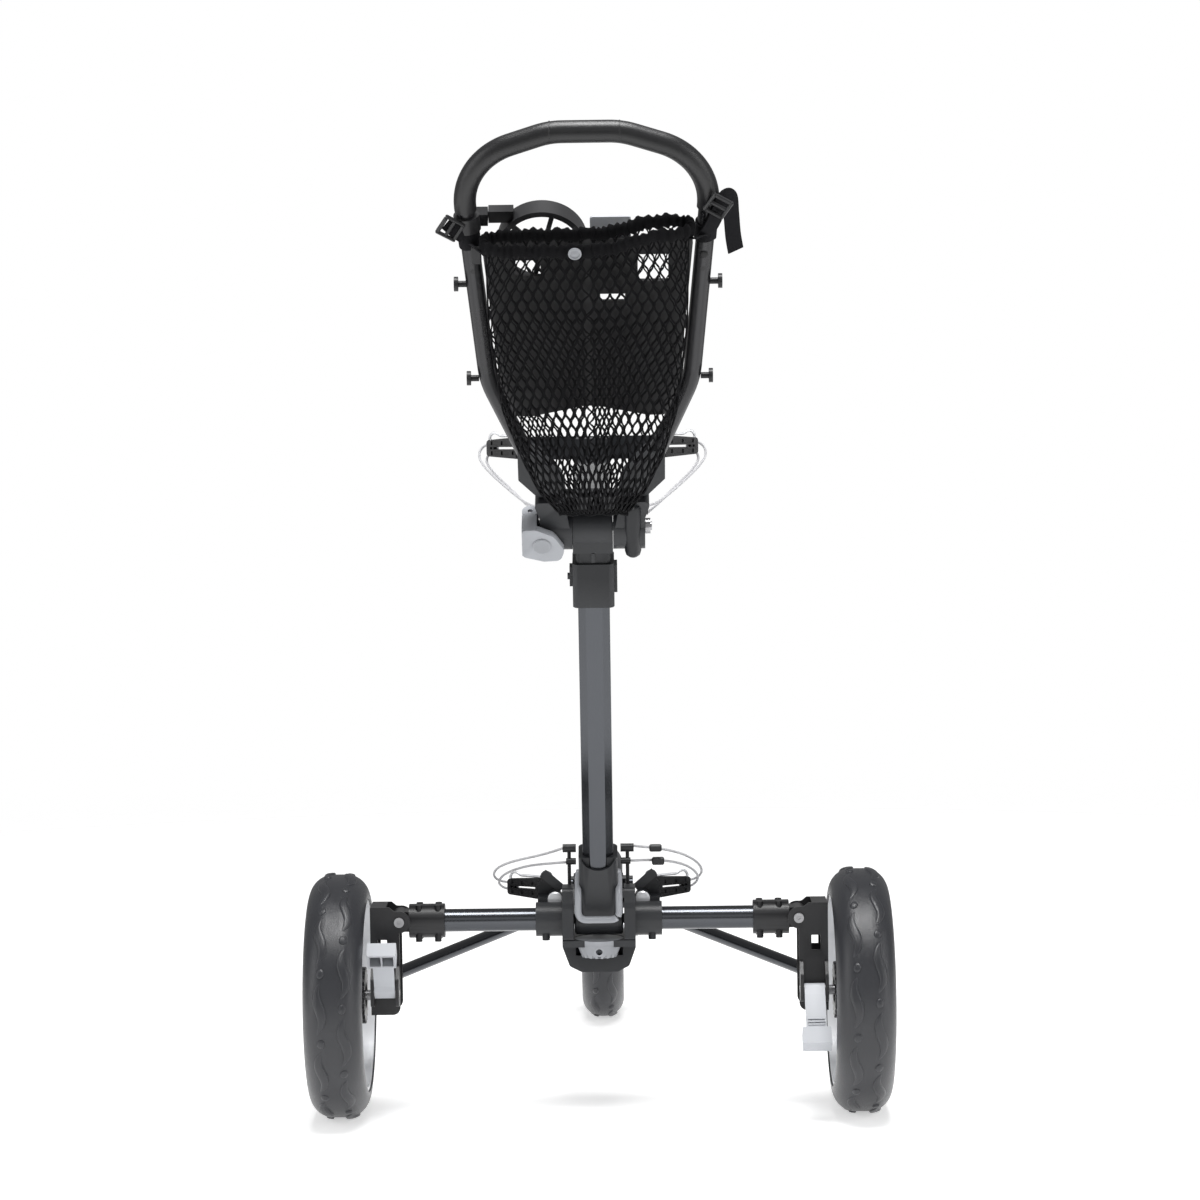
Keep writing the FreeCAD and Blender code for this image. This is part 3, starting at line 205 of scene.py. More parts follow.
class Form:
    """Vertices and faces gathered from several shapes into one piece."""

    def __init__(self):
        self.points, self.faces = [], []

    def add(self, points, faces):
        first = len(self.points)
        self.points += [Vector(point) for point in points]
        self.faces += [[first + index for index in face] for face in faces]

    def sweep(self, path, normals, profile, closed=False, scales=None):
        """A profile (side, up) carried along a path; closed joins the last ring to the first."""
        count, around = len(path), len(profile)
        points = []
        for index, point in enumerate(path):
            if closed:
                tangent = path[(index + 1) % count] - path[index - 1]
            else:
                tangent = path[min(index + 1, count - 1)] - path[max(index - 1, 0)]
            side = tangent.cross(normals[index]).normalized()
            up = side.cross(tangent).normalized()
            scale = scales[index] if scales else 1
            points += [point + (side * a + up * b) * scale for a, b in profile]
        faces = []
        for ring in range(count if closed else count - 1):
            here, there = ring * around, (ring + 1) % count * around
            for step in range(around):
                after = (step + 1) % around
                faces.append([here + step, there + step, there + after, here + after])
        if not closed:
            faces.append(list(range(around)))
            faces.append([(count - 1) * around + step for step in reversed(range(around))])
        self.add(points, faces)

    def block(self, place, low, high, bevel=0.8):
        """A box with chamfered edges, corners in millimetres in the given frame."""
        xs, ys, zs = zip(low, high)
        points, faces = [], []
        for ix in (0, 1):
            for iy in (0, 1):
                for iz in (0, 1):
                    corner = (xs[ix], ys[iy], zs[iz])
                    inward = [bevel if i == 0 else -bevel for i in (ix, iy, iz)]
                    for axis in range(3):
                        spot = [c + (0 if k == axis else inward[k])
                                for k, c in enumerate(corner)]
                        points.append(at(place, *spot))

        def number(ix, iy, iz, axis):
            return (ix * 4 + iy * 2 + iz) * 3 + axis

        for axis in range(3):
            others = [k for k in range(3) if k != axis]
            for end in (0, 1):
                loop = []
                for first, second in ((0, 0), (1, 0), (1, 1), (0, 1)):
                    bits = [0, 0, 0]
                    bits[axis], bits[others[0]], bits[others[1]] = end, first, second
                    loop.append(number(*bits, axis))
                faces.append(loop if (end == 1) == (axis != 1) else loop[::-1])
        for axis in range(3):
            others = [k for k in range(3) if k != axis]
            for first in (0, 1):
                for second in (0, 1):
                    bits = [0, 0, 0]
                    bits[others[0]], bits[others[1]] = first, second
                    far = list(bits)
                    far[axis] = 1
                    loop = [number(*bits, others[0]), number(*far, others[0]),
                            number(*far, others[1]), number(*bits, others[1])]
                    faces.append(loop)
        for ix in (0, 1):
            for iy in (0, 1):
                for iz in (0, 1):
                    faces.append([number(ix, iy, iz, axis) for axis in range(3)])
        self.add(points, faces)

    def turned(self, centre, axis, profile, sides=24):
        """A solid turned from (radius, distance along the axis) pairs, in metres."""
        axis = Vector(axis).normalized()
        side = axis.orthogonal().normalized()
        other = axis.cross(side)
        points = []
        for radius, along in profile:
            for step in range(sides):
                turn = 2 * math.pi * step / sides
                points.append(centre + axis * along
                              + (side * math.cos(turn) + other * math.sin(turn)) * radius)
        faces = []
        for ring in range(len(profile) - 1):
            for step in range(sides):
                after = (step + 1) % sides
                faces.append([ring * sides + step, ring * sides + after,
                              (ring + 1) * sides + after, (ring + 1) * sides + step])
        faces.append(list(reversed(range(sides))))
        faces.append([(len(profile) - 1) * sides + step for step in range(sides)])
        self.add(points, faces)

    def piece(self, name, body, slot, smooth_angle=35):
        """The gathered shapes as one object, with its normals facing out."""
        data = bpy.data.meshes.new(name)
        data.from_pydata([tuple(point) for point in self.points], [], self.faces)
        data.validate()
        work = bmesh.new()
        work.from_mesh(data)
        bmesh.ops.recalc_face_normals(work, faces=work.faces)
        work.to_mesh(data)
        work.free()
        data.shade_smooth()
        data.set_sharp_from_angle(angle=math.radians(smooth_angle))
        return finished(bpy.data.objects.new(name, data), body, slot)


def oval(wide, thick, count=8):
    """The profile of an oval strand, in metres."""
    return [(wide / 2 * math.cos(2 * math.pi * k / count),
             thick / 2 * math.sin(2 * math.pi * k / count)) for k in range(count)]


# ---------------------------------------------------------------- elastic cords
CORD_DIAMETER = 0.003
CORD_ALONG, CORD_AHEAD, CORD_RISE = 39.5, 4.8, 4.5
ARM_TURN = math.radians(30)
LOWER_ROOT = (68, 50, 266)
UPPER_ROOT = (80, 84, 90)
UPPER_RIGHT = [(64, 40, 22), (73, 45, 24), (86, 58, 32), (102, 74, 45), (117, 88, 58),
               (128, 99, 69), (134, 108, 79), (133, 114, 88), (125, 115, 94.8)]
UPPER_RIGHT_BACK = [(122, 113.5, 84), (126, 110, 75), (120, 101, 65), (108, 87, 53),
                    (92, 70, 39), (77, 53, 24), (64, 44, 14)]
LOWER_RIGHT = [(43, 14, 322), (58, 17, 320), (80, 26, 316), (101, 39, 309), (116, 52, 300),
               (125, 64, 290), (127, 74, 280), (121, 80.5, 273), (112, 80.5, 270.2)]
LOWER_RIGHT_BACK = [(110, 79.5, 261.8), (118, 77, 266), (123, 68, 275), (117, 56, 286),
                    (104, 44, 295), (84, 32, 301), (58, 20, 304), (39, 14, 304)]
LOWER_LEFT = [(-43, 14, 320), (-57, 17, 315), (-78, 24, 309), (-100, 36, 303),
              (-117, 50, 296), (-127, 63, 288), (-130, 74, 279), (-123, 80.5, 272),
              (-112, 80, 270.2)]
LOWER_LEFT_BACK = [(-110, 79.5, 261.8), (-119, 77, 264.5), (-124, 67, 272), (-118, 55, 282),
                   (-105, 44, 290), (-85, 32, 297), (-59, 20, 301), (-39, 14, 303)]


def arm_point(root, side, along, forward, up):
    """A point given along an arm, forward of its middle plane and above its middle line."""
    out = along * math.cos(ARM_TURN) - forward * math.sin(ARM_TURN)
    ahead = along * math.sin(ARM_TURN) + forward * math.cos(ARM_TURN)
    return (side * (root[0] + out), root[1] + ahead, root[2] + up)


def hooked(root, side, outward, inward):
    """A cord's route out to the end of a bag arm, down over it and back."""
    return outward + [arm_point(root, side, CORD_ALONG, CORD_AHEAD, up)
                      for up in (CORD_RISE, -CORD_RISE)] + inward


def mirrored(points):
    return [(-x, y, z) for x, y, z in points]


def rod(name, points, place, body, slot, radius, fineness):
    """A round wire or cord on a smooth curve from the first point to the last."""
    data = bpy.data.curves.new(name, "CURVE")
    data.dimensions = "3D"
    data.bevel_depth = radius
    data.bevel_resolution = fineness
    data.resolution_u = 12
    data.use_fill_caps = True
    spline = data.splines.new("NURBS")
    spline.points.add(len(points) - 1)
    for spot, point in zip(spline.points, points):
        spot.co = (*at(place, *point), 1)
    spline.order_u = 3
    spline.use_endpoint_u = True
    return finished(bpy.data.objects.new(name, data), body, slot)


CORDS = [
    ("elastic_upper_right", hooked(UPPER_ROOT, 1, UPPER_RIGHT, UPPER_RIGHT_BACK), LEVEL, "post",
     "upper_cord_right", 0.2853),
    ("elastic_upper_left", hooked(UPPER_ROOT, -1, mirrored(UPPER_RIGHT),
                                  mirrored(UPPER_RIGHT_BACK)), LEVEL, "post",
     "upper_cord_left", 0.2853),
    ("elastic_lower_right", hooked(LOWER_ROOT, 1, LOWER_RIGHT, LOWER_RIGHT_BACK), CART, "frame",
     "lower_cord_right", 0.3006),
    ("elastic_lower_left", hooked(LOWER_ROOT, -1, LOWER_LEFT, LOWER_LEFT_BACK), CART, "frame",
     "lower_cord_left", 0.3027),
]
clips = Form()
clips.block(CART, (62, 14.5, 314.2), (77, 25, 322.5), 1.6)
clips.block(CART, (65, 17.5, 297.6), (80, 28, 306.6), 1.6)
cord_clips = clips.piece("cord_clips", "frame", "black_plastic")
for name, points, place, body, node, length in CORDS:
    elastic = rod(name, points, place, body, "cord_white", CORD_DIAMETER / 2, 4)
    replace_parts(elastic, node)

# ---------------------------------------------------------------- net bag
# Sections of the net: height, then left, rear, right and front edges, in millimetres.
NET_SECTIONS = [(426, -111, -45, 111, -13.5), (300, -110, -66, 109, -13.5),
                (200, -98, -76, 98, -13.5), (140, -80, -74, 83, -15),
                (92, -62, -66, 64, -32), (60, -42, -56, 46, -39), (54, -36, -49, 40, -46)]
NET_FOOT = 56
NET_INSET = 2.0
STRANDS = 84
ROWS = 27
STEPS = 3
ROUNDNESS = 4.5
KNOT_HOLD = 1.12
KNOT_REACH = 0.96
KNOT_SHAKE = 0.09
STRAND_WIDTH = 0.0024
STRAND_THICK = 0.0014


def section_at(height):
    """The net's left, rear, right and front edges at a height."""
    pairs = list(zip(NET_SECTIONS, NET_SECTIONS[1:]))
    for upper, lower in pairs:
        if height >= lower[0]:
            break
    share = (height - lower[0]) / (upper[0] - lower[0])
    return [low + (high - low) * share for low, high in zip(lower[1:], upper[1:])]


def net_local(turn, height, inset=NET_INSET):
    """A point of the rounded section, in the handle's frame."""
    x0, n0, x1, n1 = section_at(height)
    half_x = max((x1 - x0) / 2 - inset, 1)
    half_n = max((n1 - n0) / 2 - inset, 0.6)
    c, s = math.cos(turn), math.sin(turn)
    x = (x0 + x1) / 2 + half_x * math.copysign(abs(c) ** (2 / ROUNDNESS), c)
    n = (n0 + n1) / 2 + half_n * math.copysign(abs(s) ** (2 / ROUNDNESS), s)
    return x, n


def even_turns():
    """Angles that space points evenly round the net at mid height."""
    fine = [2 * math.pi * k / 2880 for k in range(2881)]
    spots = [net_local(turn, 260) for turn in fine]
    run = [0.0]
    for one, two in zip(spots, spots[1:]):
        run.append(run[-1] + math.dist(one, two))
    return fine, run


FINE, RUN = even_turns()


def net_turn(share):
    """The angle at a share of the way round the net."""
    goal = (share % 1) * RUN[-1]
    low, high = 0, len(RUN) - 1
    while high - low > 1:
        middle = (low + high) // 2
        if RUN[middle] <= goal:
            low = middle
        else:
            high = middle
    part = (goal - RUN[low]) / max(RUN[high] - RUN[low], 1e-9)
    return FINE[low] + (FINE[high] - FINE[low]) * part


def net_point(share, height, inset=NET_INSET):
    x, n = net_local(net_turn(share), height, inset)
    return at(HANDLE, x, n, height)


def net_normal(share, height):
    x0, n0, x1, n1 = section_at(height)
    x, n = net_local(net_turn(share), height)
    out = Vector((x - (x0 + x1) / 2, (n - (n0 + n1) / 2) * 3.5, 0)).normalized()
    return (HANDLE.to_3x3() @ out).normalized()


def rim_height(share):
    """The mouth stands higher towards the right-hand side."""
    x, _ = net_local(net_turn(share), 400)
    return 402 + 17 / (1 + math.exp(-(x - 45) / 12))


net = Form()
jitter = [[random.uniform(-KNOT_SHAKE, KNOT_SHAKE) for _ in range(ROWS + 1)]
          for _ in range(STRANDS)]
for strand in range(STRANDS):
    path, normals = [], []
    for step in range(ROWS * STEPS + 1):
        row = step / STEPS
        swing = 0.5 - 0.5 * math.cos(math.pi * row)
        swing = min(max(KNOT_HOLD * (swing - 0.5) + 0.5, 0), 1)
        if strand % 2:
            swing = 1 - swing
        base = int(row)
        rest = row - base
        knot = (strand + (1 if swing > 0.5 else 0)) % STRANDS
        shake = jitter[knot][base] * (1 - rest) + jitter[knot][min(base + 1, ROWS)] * rest
        share = (strand + swing * KNOT_REACH + (1 - KNOT_REACH) / 2 + shake) / STRANDS
        top = rim_height(share)
        height = NET_FOOT + (top - NET_FOOT) * row / ROWS
        path.append(net_point(share, height))
        normals.append(net_normal(share, height))
    net.sweep(path, normals, oval(STRAND_WIDTH, STRAND_THICK, 6))
net_piece = net.piece("net_mesh", "handle", "net", 60)
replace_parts(net_piece, "net_bag")

RIM_STEPS = 520
RIM_RUFFLES = 62
RIM_WAVES = 17
rim = Form()
rim_path, rim_normals, rim_scales = [], [], []
for step in range(RIM_STEPS):
    share = step / RIM_STEPS
    ruffle = math.sin(2 * math.pi * RIM_RUFFLES * share + 2.2 * math.sin(2 * math.pi * 5 * share))
    height = rim_height(share) + 0.9 * math.sin(2 * math.pi * RIM_WAVES * share)
    rim_path.append(net_point(share, height, 1.0))
    rim_normals.append(net_normal(share, height))
    rim_scales.append(1 + 0.17 * ruffle + random.uniform(-0.04, 0.04))
rim.sweep(rim_path, rim_normals, oval(0.0155, 0.0095, 14), closed=True, scales=rim_scales)
rim_piece = rim.piece("net_gathered_rim", "handle", "net", 60)

seam = Form()
seam_path = [at(HANDLE, -37 + 78 * k / 24, -47.5, 54 + 1.2 * math.sin(k)) for k in range(25)]
seam_normal = [HANDLE.to_3x3() @ Vector((0, -1, 0))] * 25
seam.sweep(seam_path, seam_normal, oval(0.005, 0.0045, 8))
seam_piece = seam.piece("net_bottom_seam", "handle", "net", 60)

# snap button on the front of the rim
snap = Form()
snap_at = at(HANDLE, -13, -53.6, 403)
snap_axis = HANDLE.to_3x3() @ Vector((0, -1, 0))
snap.turned(snap_at, snap_axis, [(0.0070, 0), (0.0072, 0.0016), (0.0062, 0.0026),
                                 (0.0050, 0.0022), (0.0046, 0.0013), (0.0022, 0.0014),
                                 (0.0006, 0.0022)], 32)
snap.piece("snap_button", "handle", "lever_grey")


# ---------------------------------------------------------------- tread
TRACK_HALF, REAR_RADIUS, REAR_HALF_WIDTH = 314, 146, 35
WHEELBASE, FRONT_RADIUS, FRONT_HALF_WIDTH = 650, 120, 29
SHOULDER = 27


def tread(name, body, centre, radius, half_width, repeats, size=1.0):
    """Curved ridges and oval nubs in two columns on a foam tyre."""
    form = Form()
    flat = half_width - SHOULDER
    profile = [(-6.0, -1.4), (-5.7, 1.0), (-4.6, 2.1), (-1.8, 2.4), (1.8, 2.4), (4.6, 2.1),
               (5.7, 1.0), (6.0, -1.4)]
    profile = [(a / 1000 * size, b / 1000) for a, b in profile]

    def spot(across, turn):
        past = max(abs(across) - flat, 0)
        here = radius - SHOULDER + math.sqrt(max(SHOULDER ** 2 - past ** 2, 0))
        slope = math.atan2(past, math.sqrt(max(SHOULDER ** 2 - past ** 2, 1e-6)))
        point = Vector((across / 1000, here / 1000 * math.sin(turn),
                        here / 1000 * math.cos(turn))) + centre
        up = Vector((math.copysign(math.sin(slope), across), math.cos(slope) * math.sin(turn),
                     math.cos(slope) * math.cos(turn)))
        return point, up

    for number in range(repeats):
        for column, middle in ((-1, -13.5 * size), (1, 15 * size)):
            start = 2 * math.pi * (number + (0.5 if column > 0 else 0)) / repeats
            reach = 2 * math.pi / repeats
            path, normals, scales = [], [], []
            for step in range(21):
                part = step / 20
                across = middle + size * (4.5 * math.sin(2 * math.pi * part * 0.95)
                                          + 5 * (part - 0.5))
                point, up = spot(across, start + reach * 0.72 * part)
                path.append(point)
                normals.append(up)
                scales.append(0.08 + 0.92 * math.sin(math.pi * part) ** 0.75)
            form.sweep(path, normals, profile, scales=scales)
            nub_path, nub_normals, nub_scales = [], [], []
            for step in range(9):
                part = step / 8
                point, up = spot(middle - column * 1.5 + 3 * (part - 0.5),
                                 start + reach * (0.79 + 0.13 * part))
                nub_path.append(point)
                nub_normals.append(up)
                nub_scales.append(0.15 + 0.62 * math.sin(math.pi * part) ** 0.5)
            form.sweep(nub_path, nub_normals, profile, scales=nub_scales)
    return form.piece(name, body, "tyre_foam", 50)


for side, name in ((-1, "left"), (1, "right")):
    tread(f"tread_{name}", f"wheel_{name}", at(CART, side * TRACK_HALF, 0, REAR_RADIUS),
          REAR_RADIUS, REAR_HALF_WIDTH, 11)
tread("tread_front", "front_wheel", at(CART, 0, WHEELBASE, FRONT_RADIUS), FRONT_RADIUS,
      FRONT_HALF_WIDTH, 9, 0.85)

# ---------------------------------------------------------------- straps and buckles
TUBE_SLOPE = 21 / 281


def tube_middle(height):
    """How far a handle tube's middle line stands from the centre at a height."""
    return 113 + (height - 205) * TUBE_SLOPE


def wrap(form, side, height, wide, radius=11.4):
    """A webbing band round one handle tube."""
    along = (HANDLE.to_3x3() @ Vector((side * TUBE_SLOPE, 0, 1))).normalized()
    middle = at(HANDLE, side * tube_middle(height), 0, height)
    across = along.cross(HANDLE.to_3x3() @ Vector((0, 1, 0))).normalized()
    deep = across.cross(along)
    path, normals = [], []
    for step in range(40):
        turn = 2 * math.pi * step / 40
        out = across * math.cos(turn) + deep * math.sin(turn)
        path.append(middle + out * radius / 1000 + along * 0.0012 * math.sin(2 * turn))
        normals.append(out)
    form.sweep(path, normals, [(-wide / 2000, -0.0005), (-wide / 2000, 0.0007),
                               (wide / 2000, 0.0007), (wide / 2000, -0.0005)], closed=True)


def ribbon(form, points, out, wide, thick=1.4):
    """A flat band through points of the handle's frame, smoothed."""
    route = [at(HANDLE, *point) for point in points]
    smooth = []
    for index in range(len(route) - 1):
        before = route[max(index - 1, 0)]
        after = route[min(index + 2, len(route) - 1)]
        one, two = route[index], route[index + 1]
        for step in range(8):
            t = step / 8
            smooth.append(0.5 * (2 * one + (two - before) * t
                                 + (2 * before - 5 * one + 4 * two - after) * t * t
                                 + (3 * one - before - 3 * two + after) * t ** 3))
    smooth.append(route[-1])
    facing = [HANDLE.to_3x3() @ Vector(out)] * len(smooth)
    half, skin = wide / 2000, thick / 2000
    form.sweep(smooth, facing, [(-half, -skin), (-half, skin), (half, skin), (half, -skin)])


straps = Form()
wrap(straps, -1, 392, 19)
wrap(straps, 1, 398, 19)
ribbon(straps, [(-122, -13, 386), (-114, -26, 391), (-107, -42, 397)], (0.3, -1, 0.1), 17)
ribbon(straps, [(-131, -13, 400), (-141, -12, 408), (-150, -8, 415)], (0.1, -1, 0), 17)
ribbon(straps, [(120, -13, 396), (113, -27, 404), (107, -42, 412)], (-0.3, -1, 0.1), 19)
ribbon(straps, [(126, -13, 398), (134, -13, 412), (141, -10, 428), (147, -4, 440),
                (153, 2, 434), (155, 4, 412), (157, 3, 388), (160, 2, 369)], (0.6, -1, 0), 19)
strap_piece = straps.piece("webbing_straps", "handle", "webbing")
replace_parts(strap_piece, "net_straps")


def ladder_lock(form, centre, tilt):
    """A moulded buckle: two side rails, a raised top lip and two cross bars."""
    place = HANDLE @ Matrix.Translation(Vector(centre) / 1000) @ Matrix.Rotation(
        math.radians(tilt), 4, "Y")
    form.block(place, (-12.5, -2.6, -12), (-9.2, 2.6, 12), 1.1)
    form.block(place, (9.2, -2.6, -12), (12.5, 2.6, 12), 1.1)
    form.block(place, (-10, -3.4, 8.2), (10, 1.6, 12.4), 1.1)
    form.block(place, (-10, -2.0, -1.8), (10, 2.2, 1.8), 0.9)
    form.block(place, (-10, -2.2, -12), (10, 1.4, -8.6), 0.9)


buckles = Form()
ladder_lock(buckles, (-146, -13, 411), -58)
ladder_lock(buckles, (140, -15.5, 436), 32)
buckles.block(HANDLE, (-125, -15.5, 366), (-114, -11.2, 388), 1.2)
buckle_piece = buckles.piece("ladder_lock_buckles", "handle", "black_plastic")
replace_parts(buckle_piece, "strap_buckles")

# ---------------------------------------------------------------- grip, tube and joint details
REARWARD = HANDLE.to_3x3() @ Vector((0, -1, 0))
GRIP_HEIGHT = 519.4
HOLE_HEIGHT, HOLE_FACE = 354, -10.02
RIVET_HEIGHT = 372
marks = Form()
for x in (-38, 36):
    marks.turned(at(HANDLE, x, 0, GRIP_HEIGHT) - Vector((0.0006, 0, 0)), (1, 0, 0),
                 [(0.0121, 0), (0.01235, 0.0003), (0.01235, 0.0010), (0.0121, 0.0013)], 40)
# Dark discs on the tubes' rear faces stand for the two holes: painted shade inside the holes.
for side in (-1, 1):
    marks.turned(at(HANDLE, side * tube_middle(HOLE_HEIGHT), HOLE_FACE, HOLE_HEIGHT), REARWARD,
                 [(0.0027, -0.0004), (0.0027, 0.00015)], 20)
marks.piece("grip_seams_and_hole_shade", "handle", "black_rubber")

rivet = Form()
rivet.turned(at(HANDLE, tube_middle(RIVET_HEIGHT), -9.9, RIVET_HEIGHT), REARWARD,
             [(0.0046, 0), (0.0044, 0.0009), (0.003, 0.0016), (0.001, 0.0017)], 28)
for side in (-1, 1):
    rivet.turned(at(POST, 0, 0, 511) + Vector((side * 0.0600, 0, 0)), (side, 0, 0),
                 [(0.0085, 0), (0.0085, 0.0022), (0.006, 0.0034), (0.003, 0.0030)], 6)
rivet.piece("tube_rivet_and_bolt_heads", "handle", "black_plastic")

screws = Form()
for side in (-1, 1):
    for depth, facing in ((-26, -1), (26, 1)):
        screws.turned(at(CART, side * 240, depth, 238), (0, facing, 0),
                      [(0.0036, -0.0004), (0.0036, 0.0014), (0.0031, 0.0020),
                       (0.0016, 0.0020), (0.0014, 0.0009)], 6)
screws.piece("knuckle_screws", "frame", "steel")

paddle = Form()
paddle.turned(at(HANDLE, -58, -38.0, 1), REARWARD,
              [(0.0105, -0.0005), (0.0105, 0.0009), (0.0092, 0.0017), (0.0060, 0.0012),
               (0.0020, 0.0009)], 36)
paddle.piece("lever_thumb_dish", "lever", "lever_grey")

# ---------------------------------------------------------------- bag brackets
HOOK_RADIUS = 0.0017
HOOK_LIFT = 14.6
HOOK = [(1, 0), (14, 0), (26, 0), (32, -0.2), (38, 3.6), (44, 3.0), (48, -3.4), (46, -5.4)]

for root, place, body, level in ((LOWER_ROOT, CART, "frame", "lower"),
                                 (UPPER_ROOT, LEVEL, "post", "upper")):
    for side, name in ((-1, "left"), (1, "right")):
        route = [arm_point(root, side, along, 0, HOOK_LIFT + up) for along, up in HOOK]
        rod(f"hook_wire_{level}_{name}", route, place, body, "rim_silver", HOOK_RADIUS, 3)

backs = {"frame": Form(), "post": Form()}
for root, place, body in ((LOWER_ROOT, CART, "frame"), (UPPER_ROOT, LEVEL, "post")):
    for side in (-1, 1):
        heading = ARM_TURN if side > 0 else math.pi - ARM_TURN
        arm = place @ Matrix.Translation(Vector((side * root[0], root[1], root[2])) / 1000) \
            @ Matrix.Rotation(heading, 4, "Z")
        for low in (-8.6, 3.2):
            backs[body].block(arm, (5, -1.2, low), (46, 1.2, low + 5.4), 0.4)
backs["frame"].piece("arm_window_backs_lower", "frame", "bracket_plastic")
backs["post"].piece("arm_window_backs_upper", "post", "bracket_plastic")

plates = Form()
# The light silver round ends are a painted highlight: light colour standing for overhead light on
# dark bracket ends.
painted_highlight_ends = Form()
for side in (-1, 1):
    plates.sweep([at(CART, side * 68, 36.8, 287), at(CART, side * 45, 36.8, 267)],
                 [Vector((0, -1, 0))] * 2, [(-0.0055, -0.001), (-0.0055, 0.001),
                                            (0.0055, 0.001), (0.0055, -0.001)])
    painted_highlight_ends.turned(at(CART, side * 53, 13.2, 258), (0, -1, 0),
                [(0.0090, -0.001), (0.0090, 0.0014), (0.0078, 0.0026), (0.004, 0.0030)], 32)
plates.piece("bracket_strap_plates", "frame", "hub_plastic")
painted_highlight_ends.piece("bracket_round_ends_painted_highlight", "frame", "rim_silver")
pivots = Form()
for side in (-1, 1):
    pivots.turned(at(CART, side * 64, 38.0, 283), (0, -1, 0),
                  [(0.0046, -0.001), (0.0046, 0.0012), (0.0034, 0.0022), (0.0014, 0.0018)], 24)
pivots.piece("bracket_pivot_heads", "frame", "black_plastic")

bar = Form()
bar.turned(at(HANDLE, 46, -20, 0), HANDLE.to_3x3() @ Vector((0, 0, 1)),
           [(0.002, -0.027), (0.006, -0.0262), (0.0085, -0.0235), (0.0095, -0.019),
            (0.0095, 0.041), (0.0080, 0.0445), (0.003, 0.046)], 32)
bar.piece("joint_side_bar", "handle", "hub_plastic")

# ---------------------------------------------------------------- release loop and barrel
def rounded(corners, radius, steps=6):
    """A path through points, each inner corner rounded by a quadratic curve."""
    path = [Vector(corners[0])]
    for before, corner, after in zip(corners, corners[1:], corners[2:]):
        before, corner, after = Vector(before), Vector(corner), Vector(after)
        first = corner + (before - corner).normalized() * radius
        last = corner + (after - corner).normalized() * radius
        for step in range(steps + 1):
            t = step / steps
            path.append(first * (1 - t) ** 2 + corner * 2 * t * (1 - t) + last * t ** 2)
    path.append(Vector(corners[-1]))
    return path


LOOP_SIDE = [(24.5, 16, 52), (24.5, -30, 49), (24.5, -38, 19)]
loop_route = rounded(LOOP_SIDE + mirrored(reversed(LOOP_SIDE)), 11)
loop = Form()
loop_path = [at(POST, *point) for point in loop_route]
loop_normals = []
for index, here in enumerate(loop_path):
    ahead = loop_path[min(index + 1, len(loop_path) - 1)] - loop_path[max(index - 1, 0)]
    level_part = abs(ahead.normalized().x) >= 0.5
    loop_normals.append(POST.to_3x3() @ Vector((0, 0, 1)) if level_part else Vector((1, 0, 0)))
loop.sweep(loop_path, loop_normals, oval(0.0095, 0.0082, 16))
for side in (-1, 1):
    loop.turned(at(POST, side * 21, 14, 52), (side, 0, 0),
                [(0.0066, 0), (0.0072, 0.0008), (0.0072, 0.0050), (0.0060, 0.0060)], 28)
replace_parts(loop.piece("release_loop_ring", "loop", "lever_grey"), "release_loop")

barrel = Form()
barrel.turned(at(CART, -29, 0, 236), (1, 0, 0),
              [(0.0170, 0), (0.0188, 0.0016), (0.0188, 0.0564), (0.0170, 0.0580)], 48)
barrel.piece("pivot_barrel", "post", "hub_plastic")

# ---------------------------------------------------------------- floor and light
WORLD_LIGHT = 0.30
FLOOR_GLOW = 0.5
FLOOR_HALF = 4.5
FLOOR_SOLID = 1.5
FLOOR_GONE = 3.6


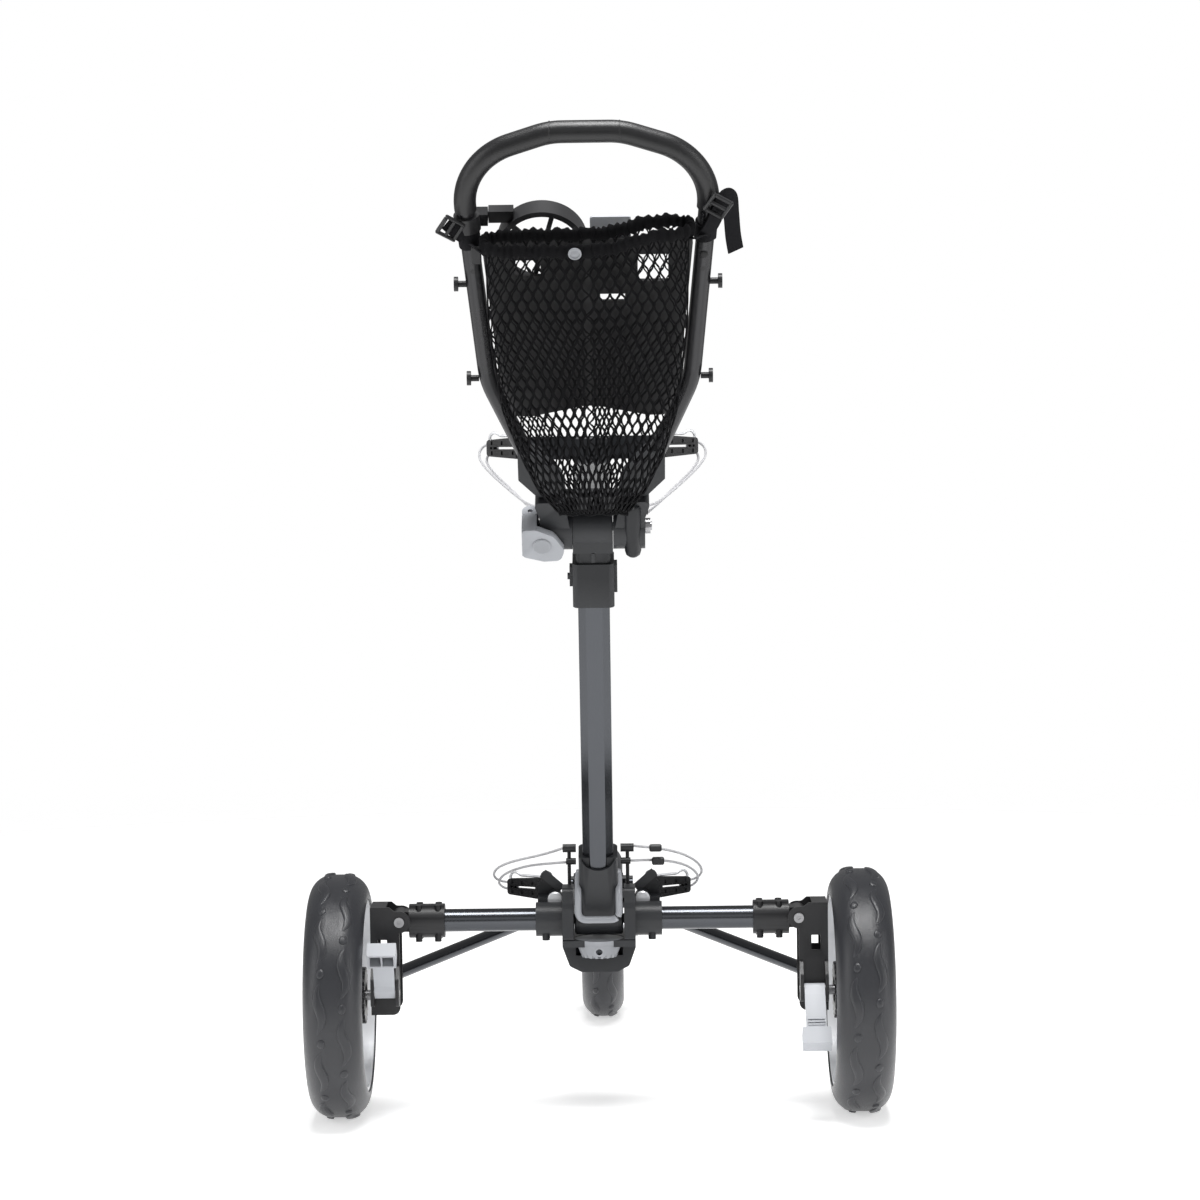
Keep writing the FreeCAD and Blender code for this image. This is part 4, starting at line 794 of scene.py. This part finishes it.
def make_floor():
    """A pale floor that fades into the white backdrop before its edge."""
    data = bpy.data.meshes.new("floor")
    data.from_pydata([(-FLOOR_HALF, -FLOOR_HALF, 0), (FLOOR_HALF, -FLOOR_HALF, 0),
                      (FLOOR_HALF, FLOOR_HALF, 0), (-FLOOR_HALF, FLOOR_HALF, 0)], [],
                     [(0, 1, 2, 3)])
    floor = bpy.data.objects.new("floor", data)
    bpy.context.scene.collection.objects.link(floor)
    made = bpy.data.materials.new("floor_pale")
    made.use_nodes = True
    nodes, links = made.node_tree.nodes, made.node_tree.links
    shader = nodes["Principled BSDF"]
    shader.inputs["Base Color"].default_value = (0.95, 0.95, 0.95, 1)
    shader.inputs["Roughness"].default_value = 0.7
    shader.inputs["Specular IOR Level"].default_value = 0.1
    shader.inputs["Emission Color"].default_value = (1, 1, 1, 1)
    shader.inputs["Emission Strength"].default_value = FLOOR_GLOW
    where = nodes.new("ShaderNodeTexCoord")
    reach = nodes.new("ShaderNodeVectorMath")
    reach.operation = "LENGTH"
    links.new(where.outputs["Object"], reach.inputs[0])
    fade = nodes.new("ShaderNodeMapRange")
    fade.interpolation_type = "SMOOTHSTEP"
    fade.inputs["From Min"].default_value = FLOOR_SOLID
    fade.inputs["From Max"].default_value = FLOOR_GONE
    links.new(reach.outputs["Value"], fade.inputs["Value"])
    clear = nodes.new("ShaderNodeBsdfTransparent")
    mixed = nodes.new("ShaderNodeMixShader")
    links.new(fade.outputs["Result"], mixed.inputs["Fac"])
    links.new(shader.outputs["BSDF"], mixed.inputs[1])
    links.new(clear.outputs["BSDF"], mixed.inputs[2])
    links.new(mixed.outputs["Shader"], nodes["Material Output"].inputs["Surface"])
    data.materials.append(made)


def area_light(name, place, aim, size, power):
    data = bpy.data.lights.new(name, "AREA")
    data.shape = "RECTANGLE"
    data.size, data.size_y = size
    data.energy = power
    light = bpy.data.objects.new(name, data)
    bpy.context.scene.collection.objects.link(light)
    light.location = place
    light.rotation_mode = "QUATERNION"
    light.rotation_quaternion = (Vector(aim) - Vector(place)).to_track_quat("-Z", "Y")


def make_world():
    """A white backdrop that lights the object less strongly than it shows."""
    world = bpy.data.worlds.new("studio")
    world.use_nodes = True
    nodes, links = world.node_tree.nodes, world.node_tree.links
    dim_light = nodes["Background"]
    dim_light.inputs["Color"].default_value = (1, 1, 1, 1)
    dim_light.inputs["Strength"].default_value = WORLD_LIGHT
    backdrop = nodes.new("ShaderNodeBackground")
    backdrop.inputs["Color"].default_value = (1, 1, 1, 1)
    seen = nodes.new("ShaderNodeLightPath")
    chosen = nodes.new("ShaderNodeMixShader")
    links.new(seen.outputs["Is Camera Ray"], chosen.inputs["Fac"])
    links.new(dim_light.outputs["Background"], chosen.inputs[1])
    links.new(backdrop.outputs["Background"], chosen.inputs[2])
    links.new(chosen.outputs["Shader"], nodes["World Output"].inputs["Surface"])
    bpy.context.scene.world = world


make_floor()
area_light("key_top", (0.1, -0.9, 3.2), (0, 0, 0.4), (1.6, 1.0), 98)
area_light("left_side", (-2.8, -1.4, 1.3), (0, 0, 0.6), (0.6, 2.6), 26)
area_light("right_side", (2.8, -1.4, 1.3), (0, 0, 0.6), (0.6, 2.6), 26)
area_light("rear_fill", (0.3, -4.4, 1.9), (0, 0, 0.6), (2.4, 1.8), 9)
make_world()
bpy.context.scene.view_settings.view_transform = "Standard"

bpy.context.view_layer.update()
